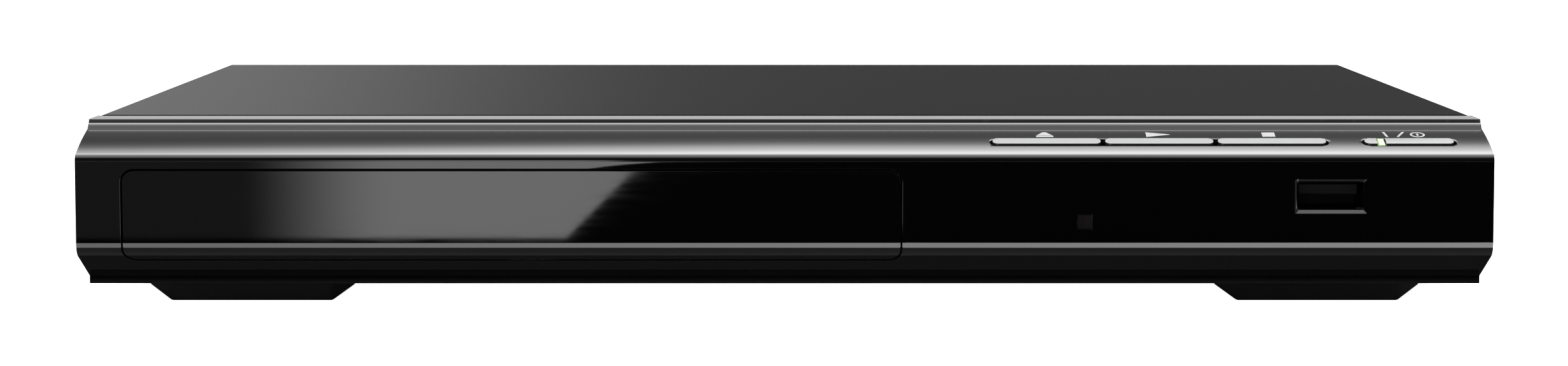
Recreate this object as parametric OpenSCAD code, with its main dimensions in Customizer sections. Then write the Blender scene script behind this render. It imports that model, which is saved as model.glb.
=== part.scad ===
// Compact disc player with a motorised tray, front keys and a front USB socket.
// Heights are measured from the surface it stands on, depths from its front face.

/* [Case] */
// Width of the case
body_w = 270; // [262:1:300]
// Depth from the front face to the rear wall
case_d = 203; // [201:1:240]
// Height from the feet to the top of the cover
body_h = 38.5; // [38.5:0.5:44]
// Height of the case's underside above the surface it stands on
base_z = 6.5; // [6.5:0.1:6.9]
// Thickness of the steel sheet
sheet_t = 0.8; // [0.6:0.1:0.9]
// Outer radius of the cover's two long bends
bend_r = 1.2; // [1:0.1:3]
// How far the rear sockets stand out behind the rear wall
jack_out = 6; // [5:0.5:9]

/* [Front bezel] */
// Wall of the moulded front
bezel_t = 2; // [1.6:0.1:2.2]
// Depth of the front from its face to the cover's edge
bezel_d = 25.8; // [25:0.1:28]
// Depth at which the sloping top starts, behind the face
slope_d = 14.8; // [14:0.1:15.2]
// Drop of the slope's rear edge below the top of the case
slope_drop = 1.8; // [1.5:0.1:2.2]
// Angle of the slope at its rear edge
slope_a = 10.8; // [9:0.1:12]
// Radius of the slope's crown
crown_r = 80; // [70:1:120]
// Radius of the edge between the slope and the face
edge_r = 1.6; // [1:0.1:1.8]
// Angle of the facet that rises from the slope to the lip's bead
lip_a = 47.5; // [40:0.5:50]
// Angle at which the bead meets the wall above it
lip_end_a = 10; // [5:1:20]
// Radius of the lip's bead
lip_r = 1.7; // [1.2:0.1:2]
// Radius of the edge between that wall and the raised strip
strip_r = 0.3; // [0.2:0.05:0.5]
// Height at which the face starts to turn under
under_z = 15.9; // [15.5:0.1:16.2]
// Radius of the turn under the face
under_r = 3.1; // [2.8:0.1:3.3]
// Angle of the bevel under the face, from level
under_a = 22.4; // [21:0.1:24]
// Depth at which the bevel ends
under_d = 14.1; // [13:0.1:15]

/* [Tray door] */
// Width of the tray door
door_w = 148.2; // [146:0.1:150]
// Distance from the case's left side to the tray's centre line
tray_side = 83; // [82:0.1:84]
// Top edge of the door
door_top = 29.6; // [29.4:0.1:30]
// Bottom edge of the door
door_low = 12.3; // [12.2:0.1:12.6]
// Gap around the door
door_gap = 0.6; // [0.4:0.05:0.8]
// Wall of the door
door_t = 2; // [1.6:0.1:2.2]
// Radius of the door's corners
door_r = 2.2; // [1:0.1:3]

/* [Disc tray] */
// Width of the tray
tray_w = 129; // [128:0.1:130]
// Depth of the disc's centre when the tray is shut
disc_d = 72; // [71:0.1:73]
// Diameter of the well for a large disc
well_dia = 121; // [120.5:0.1:122]
// Diameter of the well for a small disc
small_dia = 81.5; // [80.5:0.1:83]
// Height of the tray's rim
rim_z = 27.8; // [27.4:0.1:28]
// Floor of the well for a large disc
well_z = 23.4; // [23.2:0.1:23.8]
// Step down to the well for a small disc
small_step = 1; // [0.8:0.1:1.1]
// Underside of the tray
tray_low = 21; // [20.9:0.05:21.1]
// Width of the slot that the turntable and the lens work through
slot_w = 44; // [42:0.5:46]
// How far the tray comes out
tray_travel = 125; // [115:1:126]

/* [Keys] */
// Length of each of the three keys in the row
key_w = 20.8; // [18:0.1:20.9]
// Pitch of the three keys
key_pitch = 21.6; // [21.4:0.1:21.8]
// Distance from the case's right side to the centre of the first key
key_side = 84.8; // [84.5:0.1:85.5]
// Distance from the case's right side to the centre of the power key
power_side = 15.3; // [15:0.1:15.6]
// Length of the power key
power_w = 17.2; // [15:0.1:17.6]
// Front edge of the keys
key_d = 5.1; // [5:0.1:5.4]
// Size of the keys from front to back
key_l = 2.4; // [2.2:0.1:2.6]
// How far a key's front edge stands above the slope
key_proud = 0.3; // [0.1:0.05:0.4]
// Tilt of a key's top, from level
key_tilt = 21.5; // [18:0.5:23]
// Gap around the keys
key_gap = 0.45; // [0.3:0.05:0.5]
// Travel of a key
key_travel = 0.5; // [0.3:0.05:0.6]

/* [Front sockets] */
// Distance from the case's right side to the centre of the USB socket
usb_side = 31; // [30.8:0.1:31.4]
// Height of the USB socket's centre
usb_z = 24.7; // [24.5:0.1:25]
// Distance from the case's right side to the remote control's window
ir_side = 77.9; // [75:0.1:78.2]
// Height of the remote control's window
ir_z = 19.8; // [19:0.1:20.2]
// Side of the square window
ir_w = 2.7; // [2.5:0.1:4]

/* [Feet] */
// Distance from the case's side to the centre of a foot
foot_side = 28.2; // [25:0.1:35]
// Width of a foot across its front at the bottom
foot_w = 33.5; // [30:0.5:36]
// Depth of the front feet's front edge
foot_d = 38; // [36:0.5:40]
// Size of a foot from front to back
foot_l = 20; // [18:0.5:24]
// How far the rubber pads stand out below the feet
pad_out = 0.4; // [0.2:0.1:0.6]

/* [Loader] */
// Thickness of the loader frame's side walls
wall_t = 2.8; // [2.4:0.1:3]
// Underside of the loader frame's base
frame_z = 9; // [8.8:0.1:9]
// Thickness of the loader frame's base
frame_t = 1.4; // [1.2:0.1:1.5]
// Underside of the clamp bridge
bridge_z = 33.5; // [33.4:0.1:34]
// Thickness of the clamp bridge
bridge_t = 1.2; // [1:0.1:1.3]
// Depth of the gears' shafts
train_d = 30; // [29.6:0.1:30.2]
// Running clearance of shafts in their bores, on the radius
run_gap = 0.05; // [0.02:0.01:0.08]
// Backlash of the gears
backlash = 0.16; // [0.12:0.01:0.22]

/* [Lift and pickup] */
// Depth of the lift's hinge
hinge_d = 158; // [157.5:0.1:158]
// Height of the lift's hinge
hinge_z = 14; // [13.9:0.1:14.1]
// Angle that the lift turns through
lift_a = 2.4; // [2:0.1:2.4]
// Sideways travel of the cam that raises the lift
cam_travel = 20; // [16:0.5:20]
// Travel of the pickup
sled_travel = 34; // [30:0.5:34]
// Spacing of the pickup's two rods
rod_gap = 36; // [35:0.5:36]
// Radius of the rods
rod_r = 1.5; // [1.2:0.05:1.6]

/* [Boards] */
// Thickness of the circuit boards
board_t = 1.6; // [1.2:0.1:1.6]
// Underside of the main and power boards
board_z = 11.3; // [11:0.1:12]
// Share of the room beside the loader that the main board takes, the rest is the power board's
main_share = 0.519; // [0.5:0.001:0.54]
// Underside of the front board
front_board_z = 20.2; // [20:0.1:20.3]

/* [Hidden] */
$fn = 48;

eps = 0.01;
half_w = body_w / 2;
tray_x = tray_side - half_w;
key_x = half_w - key_side;
power_x = half_w - power_side;
usb_x = half_w - usb_side;
ir_x = half_w - ir_side;
foot_x = half_w - foot_side;
front_y = -(case_d + jack_out) / 2;
floor_z = base_z + sheet_t;
cover_in = half_w - sheet_t;
fit_gap = 0.1;

// The front's outline, worked out from its crown, edge, turn and bevel
slope_z = body_h - slope_drop;
crown_d = slope_d + crown_r * sin(slope_a);
crown_z = slope_z - crown_r * cos(slope_a);
edge_z = crown_z + sqrt(pow(crown_r - edge_r, 2) - pow(crown_d - edge_r, 2));
edge_a = asin((crown_d - edge_r) / (crown_r - edge_r));
under_end_d = under_r * (1 - sin(under_a));
under_end_z = under_z - under_r * cos(under_a);
bevel_z = under_end_z - (under_d - under_end_d) * tan(under_a);

// The lip behind the slope: a facet that rises from the slope, then a bead, then the wall up to the strip
lip_foot_d = slope_d - 0.65;
lip_foot_a = asin((crown_d - lip_foot_d) / crown_r);
lip_foot_z = crown_z + crown_r * cos(lip_foot_a);
lip_top_z = slope_z + 0.98;
lip_rise = lip_top_z - lip_foot_z - lip_r * (cos(lip_end_a) - cos(lip_a));
bead_d = lip_foot_d + lip_rise / tan(lip_a) + lip_r * sin(lip_a);
bead_z = lip_foot_z + lip_rise - lip_r * cos(lip_a);
step_d = bead_d - lip_r * sin(lip_end_a);
strip_z = body_h - 0.1;
bezel_in = half_w - bezel_t;
flange_d = under_d + 4.5;

// The tray and what it runs in
tray_l = tray_x - tray_w / 2;
tray_r = tray_x + tray_w / 2;
side_gap = 1.7;
wall_l = tray_l - side_gap;
wall_r = tray_r + side_gap;
frame_top = frame_z + frame_t;
frame_front = 15.6;
rail_end = train_d + tray_travel + 9;
frame_back = rail_end + 2;
skirt_low = 17.2;
skirt_w = 2.6;
plate_end = 138;

// The gear train, from the tray's rack to the motor
rack_m = 1;
rack_line = tray_l + 3.9;
rack_last = floor((tray_travel + 9) / (PI * rack_m)) - 1;
drive_teeth = 16;
drive_r = drive_teeth * rack_m / 2;
drive_x = rack_line + drive_r;
wheel_m = 0.8;
wheel_teeth = 30;
small_teeth = 12;
pulley_x = drive_x + (wheel_teeth + small_teeth) * wheel_m / 2;
pulley_r = 11;
motor_pulley_r = 3;
motor_x = pulley_x + 38;
belt_t = 1.2;
belt_z = 14.6;
wheel_z = 11.5;
wheel_h = 2;
shaft_r = 1.5;

// The lift, its cam and the pickup
deck_z = 12.5;
deck_t = 1.2;
deck_top = deck_z + deck_t;
deck_l = tray_x - 34;
deck_r = tray_x + 40;
deck_front = 52;
cam_d = 46.2;
cam_t = 2;
cam_pin_r = 1.2;
cam_pin_z = deck_z + deck_t / 2;
cam_slot_r = cam_pin_r + 0.12;
hinge_r = 1.5;
cam_rise = (hinge_d - cam_d - cam_t / 2) * sin(lift_a);
rod_z = 16.6;
sled_d = disc_d + 16;
sled_l = 22;
sled_m = 0.6;
sled_first = -ceil(sled_travel / (PI * sled_m));
sled_teeth = 16;
sled_r = sled_teeth * sled_m / 2;
rack_x = tray_x + rod_gap / 2 + 6;
sled_gear_x = rack_x + sled_r;
sled_gear_d = sled_d + 25;
sled_wheel_m = 0.5;
sled_wheel_teeth = 28;
sled_small_teeth = 10;
sled_reach = (sled_wheel_teeth + sled_small_teeth) * sled_wheel_m / 2;
sled_motor_d = sled_gear_d + sled_reach;
table_r = 13.5;
table_z = 20.5;
spindle_r = 1;

// The boards and the rear sockets
board_top = board_z + board_t;
front_board_top = front_board_z + board_t;
stud_r = 3;
main_l = wall_r + wall_t + 7;
board_gap = 3;
power_r = half_w - 4;
main_r = main_l + (power_r - main_l - board_gap) * main_share;
rear_l = tray_x - 6;
power_l = main_r + board_gap;
rear_in = case_d - sheet_t;
jack_r = 4.15;
jack_pitch = 14;
jack_x = [tray_x + 8, tray_x + 26, tray_x + 26 + jack_pitch, tray_x + 26 + 2 * jack_pitch];
jack_z = board_top + 7;
hdmi_x = main_l + 16;
hdmi_z = board_top + 3.1;
gland_x = power_r - 18;
gland_z = 20.5;
gland_bore = 3.1;
foot_rear_d = case_d - 8 - foot_l;

// ---- Placing helpers ----

// A box given by its limits in width, depth and height
module slab(x, d, z) {
    translate([x[0], front_y + d[0], z[0]]) cube([x[1] - x[0], d[1] - d[0], z[1] - z[0]]);
}

// An upright round piece
module post(x, d, z, r) {
    translate([x, front_y + d, z[0]]) cylinder(r = r, h = z[1] - z[0]);
}

// A round piece that lies along the width
module cross_pin(x, d, z, r) {
    translate([x[0], front_y + d, z]) rotate([0, 90, 0]) cylinder(r = r, h = x[1] - x[0]);
}

// A round piece that lies along the depth
module deep_pin(x, d, z, r) {
    translate([x, front_y + d[1], z]) rotate([90, 0, 0]) cylinder(r = r, h = d[1] - d[0]);
}

// Extrudes a shape drawn in width and depth upwards
module up(z) {
    translate([0, front_y, z[0]]) linear_extrude(z[1] - z[0]) children();
}

// Extrudes a shape drawn in depth and height along the width
module across(x) {
    translate([x[0], front_y, 0]) rotate([90, 0, 90]) linear_extrude(x[1] - x[0]) children();
}

// Extrudes a shape drawn in width and height along the depth
module inwards(d) {
    translate([0, front_y + d[1], 0]) rotate([90, 0, 0]) linear_extrude(d[1] - d[0]) children();
}

// A rectangle with round corners
module round_rect(x, y, r) {
    translate([x[0] + r, y[0]]) square([x[1] - x[0] - 2 * r, y[1] - y[0]]);
    translate([x[0], y[0] + r]) square([x[1] - x[0], y[1] - y[0] - 2 * r]);
    for (i = [x[0] + r, x[1] - r], j = [y[0] + r, y[1] - r])
        translate([i, j]) circle(r);
}

// A rectangle with square corners
module rect(x, y) {
    translate([x[0], y[0]]) square([x[1] - x[0], y[1] - y[0]]);
}

// A slot with round ends, w wide, whose end centres are at the limits in y
module slot_shape(x, y, w) {
    rect(span(x, w), y);
    for (e = y) translate([x, e]) circle(w / 2);
}

function span(middle, size) = [middle - size / 2, middle + size / 2];
function grow(limits, by) = [limits[0] - by, limits[1] + by];
function arc(c, r, a0, a1, n) = [for (i = [0:n]) let(a = a0 + (a1 - a0) * i / n) c + r * [cos(a), sin(a)]];

// ---- Gears ----

function inv(a) = tan(a) * 180 / PI - a;

// Half the angle of a tooth at radius r, for 20 degree involute teeth
function half_tooth(r, m, teeth) =
    let(rp = m * teeth / 2, rb = rp * cos(20))
    90 / teeth - backlash / 4 / rp * 180 / PI + inv(20) - inv(acos(min(1, rb / r)));

function gear_points(m, teeth) =
    let(rp = m * teeth / 2, rb = rp * cos(20), root = rp - 1.25 * m, low = max(root, rb), tip = rp + m)
    [for (i = [0:teeth - 1])
        let(flank = [root, low, (low + tip) / 2, tip], n = len(flank) - 1)
        each concat(
            [for (k = [0:n]) let(a = i * 360 / teeth - half_tooth(max(flank[k], low), m, teeth))
                flank[k] * [cos(a), sin(a)]],
            [for (k = [n:-1:0]) let(a = i * 360 / teeth + half_tooth(max(flank[k], low), m, teeth))
                flank[k] * [cos(a), sin(a)]])];

// A gear on an upright shaft, turned so that a tooth or a gap meets its mate
module gear(x, d, z, m, teeth, turn = 0) {
    translate([x, front_y + d, z[0]]) rotate(turn) linear_extrude(z[1] - z[0])
        polygon(gear_points(m, teeth));
}

// A rack along the depth, its teeth towards +X and a gap centred at depth d
function rack_points(line, back, d, m, low, high) =
    let(p = PI * m, h = p / 4 - backlash / 4, s = m * tan(20), r = 1.25 * m * tan(20))
    concat([[back, d + (low - 0.5) * p + p / 2]],
        [for (k = [low:high])
            let(c = d + (k + 0.5) * p)
            each [[line - 1.25 * m, c - h - r], [line + m, c - h + s],
                [line + m, c + h - s], [line - 1.25 * m, c + h + r]]],
        [[back, d + (high + 0.5) * p + p / 2]]);

// ---- The front's outline ----

// Outline of the front in depth and height, moved inwards by t
function bezel_outline(t) = concat(
    [[bezel_d, strip_z - t]],
    t > 0 ? [[step_d + t, strip_z - t], [step_d + t, lip_top_z - t]]
        : concat(arc([step_d + strip_r, strip_z - strip_r], strip_r, 90, 180, 4),
            arc([bead_d, bead_z], lip_r, 90 + lip_end_a, 90 + lip_a, 6)),
    arc([crown_d, crown_z], crown_r - t, 90 + lip_foot_a, 90 + edge_a, 8),
    arc([edge_r, edge_z], max(edge_r - t, 0.05), 90 + edge_a, 180, 6),
    [[t, under_z]],
    arc([under_r, under_z], under_r - t, 180, 270 - under_a, 8),
    [[under_d, bevel_z + t / cos(under_a)]]);

module front_shape(t) {
    polygon(concat(bezel_outline(t), [[under_d, base_z + t], [bezel_d, base_z + t]]));
}

// The front's outer skin only, between its outline and one moved inwards by t
module front_skin(x, t) {
    difference() {
        across(x) front_shape(0);
        across(grow(x, 1)) translate([eps, 0]) intersection() {
            front_shape(t);
            rect([t - 1, bezel_d + 1], [base_z, body_h]);
        }
    }
}

door_x = span(tray_x, door_w);
door_zs = [door_low, door_top];

// ---- Casing ----

module chassis() {
    color("silver") difference() {
        union() {
            slab([-cover_in + fit_gap, cover_in - fit_gap], [bezel_d + fit_gap, case_d], [base_z, floor_z]);
            slab([-bezel_in + fit_gap, bezel_in - fit_gap], [flange_d + fit_gap, case_d], [base_z, floor_z]);
            for (s = [-1, 1]) mirror([s < 0 ? 1 : 0, 0, 0])
                slab([cover_in - fit_gap - sheet_t, cover_in - fit_gap],
                    [bezel_d + 0.4, case_d], [base_z, base_z + 14]);
            slab([-cover_in + fit_gap, cover_in - fit_gap], [rear_in, case_d],
                [base_z, body_h - sheet_t - fit_gap]);
            for (p = board_studs) post(p[0], p[1], [floor_z, board_z], stud_r);
            for (p = frame_studs) post(p[0], p[1], [floor_z, frame_z], stud_r + 1);
        }
        for (x = jack_x) deep_pin(x, [rear_in - 1, case_d + 1], jack_z, jack_r + 1.6);
        inwards([rear_in - 1, case_d + 1]) round_rect(span(hdmi_x, 16), span(hdmi_z, 7), 1);
        inwards([rear_in - 1, case_d + 1]) round_rect(span(gland_x, 9), span(gland_z, 11), 2);
        for (p = board_studs) post(p[0], p[1], [base_z - 1, board_z + 1], 1.25);
        for (p = frame_studs) post(p[0], p[1], [base_z - 1, frame_z + 1], 1.25);
        for (x = cover_screw_x) deep_pin(x, [rear_in - 1, case_d + 1], cover_screw_z, 1.25);
        for (x = [main_r + 8:floor_slot_pitch:half_w - 10]) up([base_z - 1, floor_z + 1])
            slot_shape(x, [sink_d[0] + 10, sink_d[1] + 6], 1.8);
    }
}

cover_screw_x = [-half_w + 22, 0, half_w - 22];
cover_screw_z = body_h - 6.5;
cover_back = case_d + sheet_t;

module top_cover() {
    color("#4a4a4c") difference() {
        union() {
            difference() {
                inwards([bezel_d + fit_gap, cover_back]) {
                    round_rect([-half_w, half_w], [body_h - 10, body_h], bend_r);
                    rect([-half_w, half_w], [base_z, body_h - bend_r]);
                }
                inwards([bezel_d, cover_back + 1]) {
                    round_rect([-cover_in, cover_in], [body_h - 10, body_h - sheet_t], bend_r - sheet_t);
                    rect([-cover_in, cover_in], [base_z - 1, body_h - bend_r]);
                }
            }
            for (x = cover_screw_x) inwards([case_d, cover_back])
                round_rect(span(x, 14), [body_h - 10.5, body_h - sheet_t / 2], 1);
        }
        for (x = cover_screw_x) deep_pin(x, [case_d - 1, cover_back + 1], cover_screw_z, 1.6);
        for (i = [0:vent_n - 1]) across([-half_w - 1, half_w + 1])
            slot_shape(vent_d + vent_pitch * i, [vent_low, vent_low + 11], 2);
    }
}

floor_slot_pitch = 4;
vent_n = 11;
vent_pitch = 5.5;
vent_d = 120;
vent_low = 17;

// A window in the face with sloping sides, wide at the front and narrow at the back
module bevelled_window(x, z, depth, slant) {
    intersection() {
        up(grow(z, slant)) polygon([[x[0] - slant, -eps], [x[1] + slant, -eps], [x[1], depth],
            [x[0], depth]]);
        across(grow(x, slant))
            polygon([[-eps, z[0] - slant], [depth, z[0]], [depth, z[1]], [-eps, z[1] + slant]]);
    }
}

usb_hole_x = span(usb_x, 12.4);
usb_hole_z = span(usb_z, 5.1);

module front_bezel() {
    color("#141416") difference() {
        union() {
            front_skin([-half_w, half_w], bezel_t);
            for (s = [-1, 1]) mirror([s < 0 ? 1 : 0, 0, 0])
                across([half_w - bezel_t, half_w]) front_shape(0);
            slab(grow(usb_hole_x, 1.6), [bezel_t / 2, bezel_t + 1], grow(usb_hole_z, 1.4));
            for (x = [-half_w + 6, half_w - 14])
                slab(span(x, 1.6), [under_d - 2, bezel_d - 6], [base_z + bezel_t - eps, 16]);
        }
        inwards([-1, under_d]) round_rect(grow(door_x, door_gap), [door_low - door_gap, door_top + door_gap],
            door_r + door_gap);
        slab([-bezel_in, bezel_in], [flange_d, bezel_d + 1], [base_z - 1, floor_z + 4]);
        up([door_z_mid, body_h + 1]) round_rect(grow(row_x, key_gap), key_slot_d, slot_r);
        up([door_z_mid, body_h + 1]) round_rect(grow(power_span, key_gap), key_slot_d, slot_r);
        inwards([-1, bezel_t + 2]) rect(usb_hole_x, usb_hole_z);
        bevelled_window(usb_hole_x, usb_hole_z, 0.7, 0.55);
        inwards([-1, bezel_t + 1]) rect(span(ir_x, ir_w), span(ir_z, ir_w));
    }
}

door_z_mid = door_top + 0.5;
slot_r = (key_l + key_gap + 0.4) / 2 - 0.1;
key_slot_d = [key_d - key_gap, key_d + key_l + 0.4];
row_x = [key_x - key_w / 2, key_x + 2 * key_pitch + key_w / 2];
power_span = span(power_x, power_w);

module tray_door() {
    color("#101012") union() {
        intersection() {
            front_skin(door_x, door_t);
            inwards([-1, under_d]) round_rect(door_x, door_zs, door_r);
        }
        for (x = [tray_x - 40, tray_x + 40])
            slab(span(x, 12), [door_t, door_t + 2.4], [tray_low - 3, tray_low - 0.1]);
    }
}

// ---- Feet ----

module foot(d) {
    top = base_z;
    shoulder = 3.6;
    difference() {
        hull() {
            up([shoulder, top]) rect(span(0, foot_w + 7.6), [d + 1.2, d + foot_l]);
            up([pad_out, shoulder]) rect(span(0, foot_w), [d, d + foot_l - 1]);
        }
        up([pad_out - 1, pad_out + 0.8]) round_rect(span(0, foot_w - 6.8), [d + 6.8, d + foot_l - 2.2], 2);
    }
}

module foot_pad(d) {
    up([0, pad_out + 0.8]) round_rect(span(0, foot_w - 7), [d + 6.9, d + foot_l - 2.3], 1.9);
}

module front_feet() {
    color("#1c1c1e") for (x = [-foot_x, foot_x]) translate([x, 0, 0]) foot(foot_d);
}

module rear_feet() {
    color("#1c1c1e") for (x = [-foot_x, foot_x]) translate([x, 0, 0]) foot(foot_rear_d);
}

module foot_pads() {
    color("#2a2a2a") for (x = [-foot_x, foot_x], d = [foot_d, foot_rear_d])
        translate([x, 0, 0]) foot_pad(d);
}

// ---- Keys and front board ----

switch_h = 4.6;
switch_d = 8.3;
stem_low = front_board_top + switch_h + key_travel - 0.1;
key_r = key_l / 2 - 0.1;
key_front_z = crown_z + sqrt(pow(crown_r, 2) - pow(crown_d - key_d, 2)) + key_proud;

// A key's top is tilted more than the slope around it, so its rear edge stands higher than its front edge
module key_side_shape() {
    rise = key_l * tan(key_tilt);
    polygon([[key_d - eps, door_z_mid + 0.2], [key_d - eps, key_front_z - 0.15], [key_d + 0.15, key_front_z],
        [key_d + key_l - 0.1, key_front_z + rise], [key_d + key_l + eps, key_front_z + rise - 0.1],
        [key_d + key_l + eps, door_z_mid + 0.2]]);
}

// A key: its cap, and an arm behind the skin that reaches back to the switch
module key(x, w, notch = 0) {
    difference() {
        union() {
            intersection() {
                up([door_z_mid + 0.1, body_h]) round_rect(span(x, w), [key_d, key_d + key_l], key_r);
                across(span(x, w + 2)) key_side_shape();
            }
            slab(span(x, 4), [key_d + 0.3, key_d + key_l - 0.2], [stem_low, door_z_mid + 1]);
            slab(span(x, 4), [key_d + 0.3, switch_d + 1.4], [stem_low, stem_low + 1.6]);
            for (s = [-1, 1]) slab(span(x + s * (w / 2 - 2.2), 1.2), [key_d + 0.4, key_d + key_l - 0.3],
                [door_z_mid - 0.9, door_z_mid + 1]);
        }
        if (notch > 0) slab(span(light_x, notch), [key_d - 1, key_d + key_l + 1], [stem_low, body_h]);
    }
}

light_x = power_x - 5.35;

module eject_button() { color("#18181a") key(key_x, key_w); }
module play_button() { color("#18181a") key(key_x + key_pitch, key_w); }
module stop_button() { color("#18181a") key(key_x + 2 * key_pitch, key_w); }
module power_button() { color("#18181a") key(power_x, power_w, 1.7); }

// The light pipe stands over its emitter and crosses the power key
module power_light_pipe() {
    color("#b8f0a0") {
        intersection() {
            slab(span(light_x, 1.1), grow(key_slot_d, -0.1), [front_board_top + 2, body_h]);
            across(span(light_x, 4)) front_shape(-0.1);
        }
        slab(span(light_x, 1.1), [key_slot_d[0] + 0.1, switch_d + 1.4],
            [front_board_top + 2, front_board_top + 4]);
    }
}

front_board_x = [main_l + 4, half_w - 4.5];
front_board_d = [11, 33];

module front_board() {
    color("#3d6b2f") difference() {
        up([front_board_z, front_board_top]) round_rect(front_board_x, front_board_d, 1);
        for (x = [front_board_x[0] + 5, front_board_x[1] - 5])
            post(x, front_board_d[1] - 4, [front_board_z - 1, front_board_top + 1], 1.6);
    }
    color("#3d6b2f") slab([key_x - 8, usb_x - 7.6], [6.6, 11], [front_board_z, front_board_top]);
    color("#3d6b2f") slab([usb_x + 7.6, front_board_x[1]], [6.6, 11], [front_board_z, front_board_top]);
}

module tact_switch(x) {
    slab(span(x, 5), span(switch_d + 0.7, 5), [front_board_top, front_board_top + switch_h - 1.2]);
    post(x, switch_d, [front_board_top + switch_h - 1.2, front_board_top + switch_h - 0.2], 1.4);
}

module key_switches() {
    color("#30302e") for (x = [key_x, key_x + key_pitch, key_x + 2 * key_pitch, power_x]) tact_switch(x);
}

module power_led() {
    color("#cfeec0") slab(span(light_x, 1.6), span(switch_d, 3), [front_board_top, front_board_top + 1.4]);
}

module ir_window() {
    color("#1c1416") slab(span(ir_x, ir_w - 0.1), [0.05, bezel_t + 0.6], span(ir_z, ir_w - 0.1));
}

module ir_receiver() {
    color("#202024") {
        slab(span(ir_x, 5.4), [4.4, 6.4], [ir_z - 3.4, ir_z + 3.2]);
        translate([ir_x, front_y + 4.4, ir_z]) sphere(r = 1.6);
    }
}

usb_shell_x = span(usb_x, 13.1);
usb_shell_z = span(usb_z, 5.72);

module usb_shell() {
    color("#c8c8cc") difference() {
        slab(usb_shell_x, [bezel_t + 1.05, 17], usb_shell_z);
        slab(grow(usb_shell_x, -0.3), [0, 16.6], grow(usb_shell_z, -0.3));
    }
}

module usb_tongue() {
    color("#3a3a3e") {
        slab(span(usb_x, 11.1), [4.9, 13], [usb_z + 0.1, usb_z + 1.9]);
        slab(grow(usb_shell_x, -0.35), [13, 16.55], grow(usb_shell_z, -0.35));
    }
}

// ---- Tray ----

// The slot from the turntable to the rear edge, as a shape in width and depth
module tray_slot(grow_by) {
    translate([tray_x, disc_d]) circle(slot_w / 2 + grow_by);
    rect(grow(span(tray_x, slot_w), grow_by), [disc_d, rail_end + 10]);
}

module disc_tray() {
    skirt_t = 1.6;
    color("#26262a") difference() {
        union() {
            up([tray_low, rim_z]) round_rect([tray_l, tray_r], [door_t, plate_end], 3);
            up([tray_low, rim_z]) rect([tray_l, tray_r], [door_t, door_t + 4]);
            slab([tray_l, tray_l + skirt_w], [door_t + 6, rail_end], [skirt_low, tray_low + 2]);
            slab([tray_r - skirt_w, tray_r], [door_t + 6, rail_end], [skirt_low, tray_low + 2]);
            up([skirt_low, tray_low + eps])
                polygon(rack_points(rack_line, tray_l + 1, train_d, rack_m, -5, rack_last));
        }
        post(tray_x, disc_d, [well_z, rim_z + 1], well_dia / 2);
        post(tray_x, disc_d, [well_z - small_step, rim_z + 1], small_dia / 2);
        up([tray_low - 1, rim_z + 1]) tray_slot(0);
        post(tray_x, door_t + 8, [well_z, rim_z + 1], 13);
        // The moulding is hollow from below outside its wells
        up([tray_low - 1, rim_z - skirt_t]) difference() {
            round_rect([tray_l + 4, tray_r - 4], [door_t + skirt_t, plate_end - skirt_t], 2);
            translate([tray_x, disc_d]) circle(well_dia / 2 + skirt_t);
            translate([tray_x, door_t + 8]) circle(13 + skirt_t);
            tray_slot(skirt_t);
        }
    }
}

// ---- Loader ----

ear_x = [wall_l - wall_t - 4, wall_r + wall_t + 4];
frame_studs = [for (x = ear_x, d = [26, frame_back - 6]) [x, d]];
deck_gap = 2;
motor_r = 10;

module loader_frame() {
    well_x = [deck_l - deck_gap, deck_r + deck_gap];
    color("#35353a") difference() {
        union() {
            up([frame_z, frame_top])
                round_rect([wall_l - wall_t - 1, wall_r + wall_t + 1], [frame_front, frame_back + 2.4], 1);
            // Ears for the screws
            for (d = [26, frame_back - 6]) up([frame_z, frame_top]) {
                rect(ear_x, span(d, 8));
                for (x = ear_x) translate([x, d]) circle(4);
            }
            for (x = [wall_l - wall_t, wall_r])
                slab([x, x + wall_t], [frame_front + 4, frame_back], [frame_z, bridge_z]);
            slab([wall_l - wall_t, wall_r + wall_t], [frame_back - 0.1, frame_back + 2.4],
                [frame_z, tray_low]);
            // Ledges that the tray's skirts run on
            slab([wall_l - eps, tray_l + 2.2], [frame_front + 6, frame_back],
                [skirt_low - 1.3, skirt_low - fit_gap]);
            slab([tray_r - 2.2, wall_r + eps], [frame_front + 6, frame_back],
                [skirt_low - 1.3, skirt_low - fit_gap]);
            // Tabs that keep the tray down
            for (d = [30, 96, 138]) {
                slab([wall_l - eps, tray_l + 2], [d, d + 12], [rim_z + 0.3, rim_z + 1.8]);
                slab([tray_r - 2, wall_r + eps], [d, d + 12], [rim_z + 0.3, rim_z + 1.8]);
            }
            // Shafts of the two gears
            post(drive_x, train_d, [frame_z, skirt_low + 3.2], shaft_r);
            post(pulley_x, train_d, [frame_z, belt_z + 1.4], shaft_r);
            post(drive_x, train_d, [frame_z, wheel_z - 0.2], 3);
            post(pulley_x, train_d, [frame_z, wheel_z - 0.2], 3);
            // Bearings of the lift's hinge
            for (x = [well_x[0] - 4, well_x[1] + 0.4])
                slab([x, x + 3.6], span(hinge_d, 8), [frame_z, hinge_z + 3.4]);
            // Guides of the cam
            for (d = [cam_d - 2.2, cam_d + cam_t + 0.2])
                slab([deck_l + 4, deck_r], [d, d + 2], [frame_z, frame_top + 1.2]);
        }
        slab(well_x, [cam_d + cam_t + 2.2, frame_back - 3], [frame_z - 1, hinge_z + 5]);
        post(motor_x, train_d, [frame_z - 1, frame_top + 1], motor_r + 0.1);
        for (p = frame_studs) post(p[0], p[1], [frame_z - 1, frame_top + 1], 1.6);
        cross_pin([well_x[0] - 6, well_x[1] + 6], hinge_d, hinge_z, hinge_r + run_gap);
        for (d = [54, 86, 118]) for (x = [wall_l - wall_t - 1, wall_r - 1])
            slab([x, x + wall_t + 2], [d, d + 22], [frame_top + 1, skirt_low - 3]);
    }
}

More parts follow.
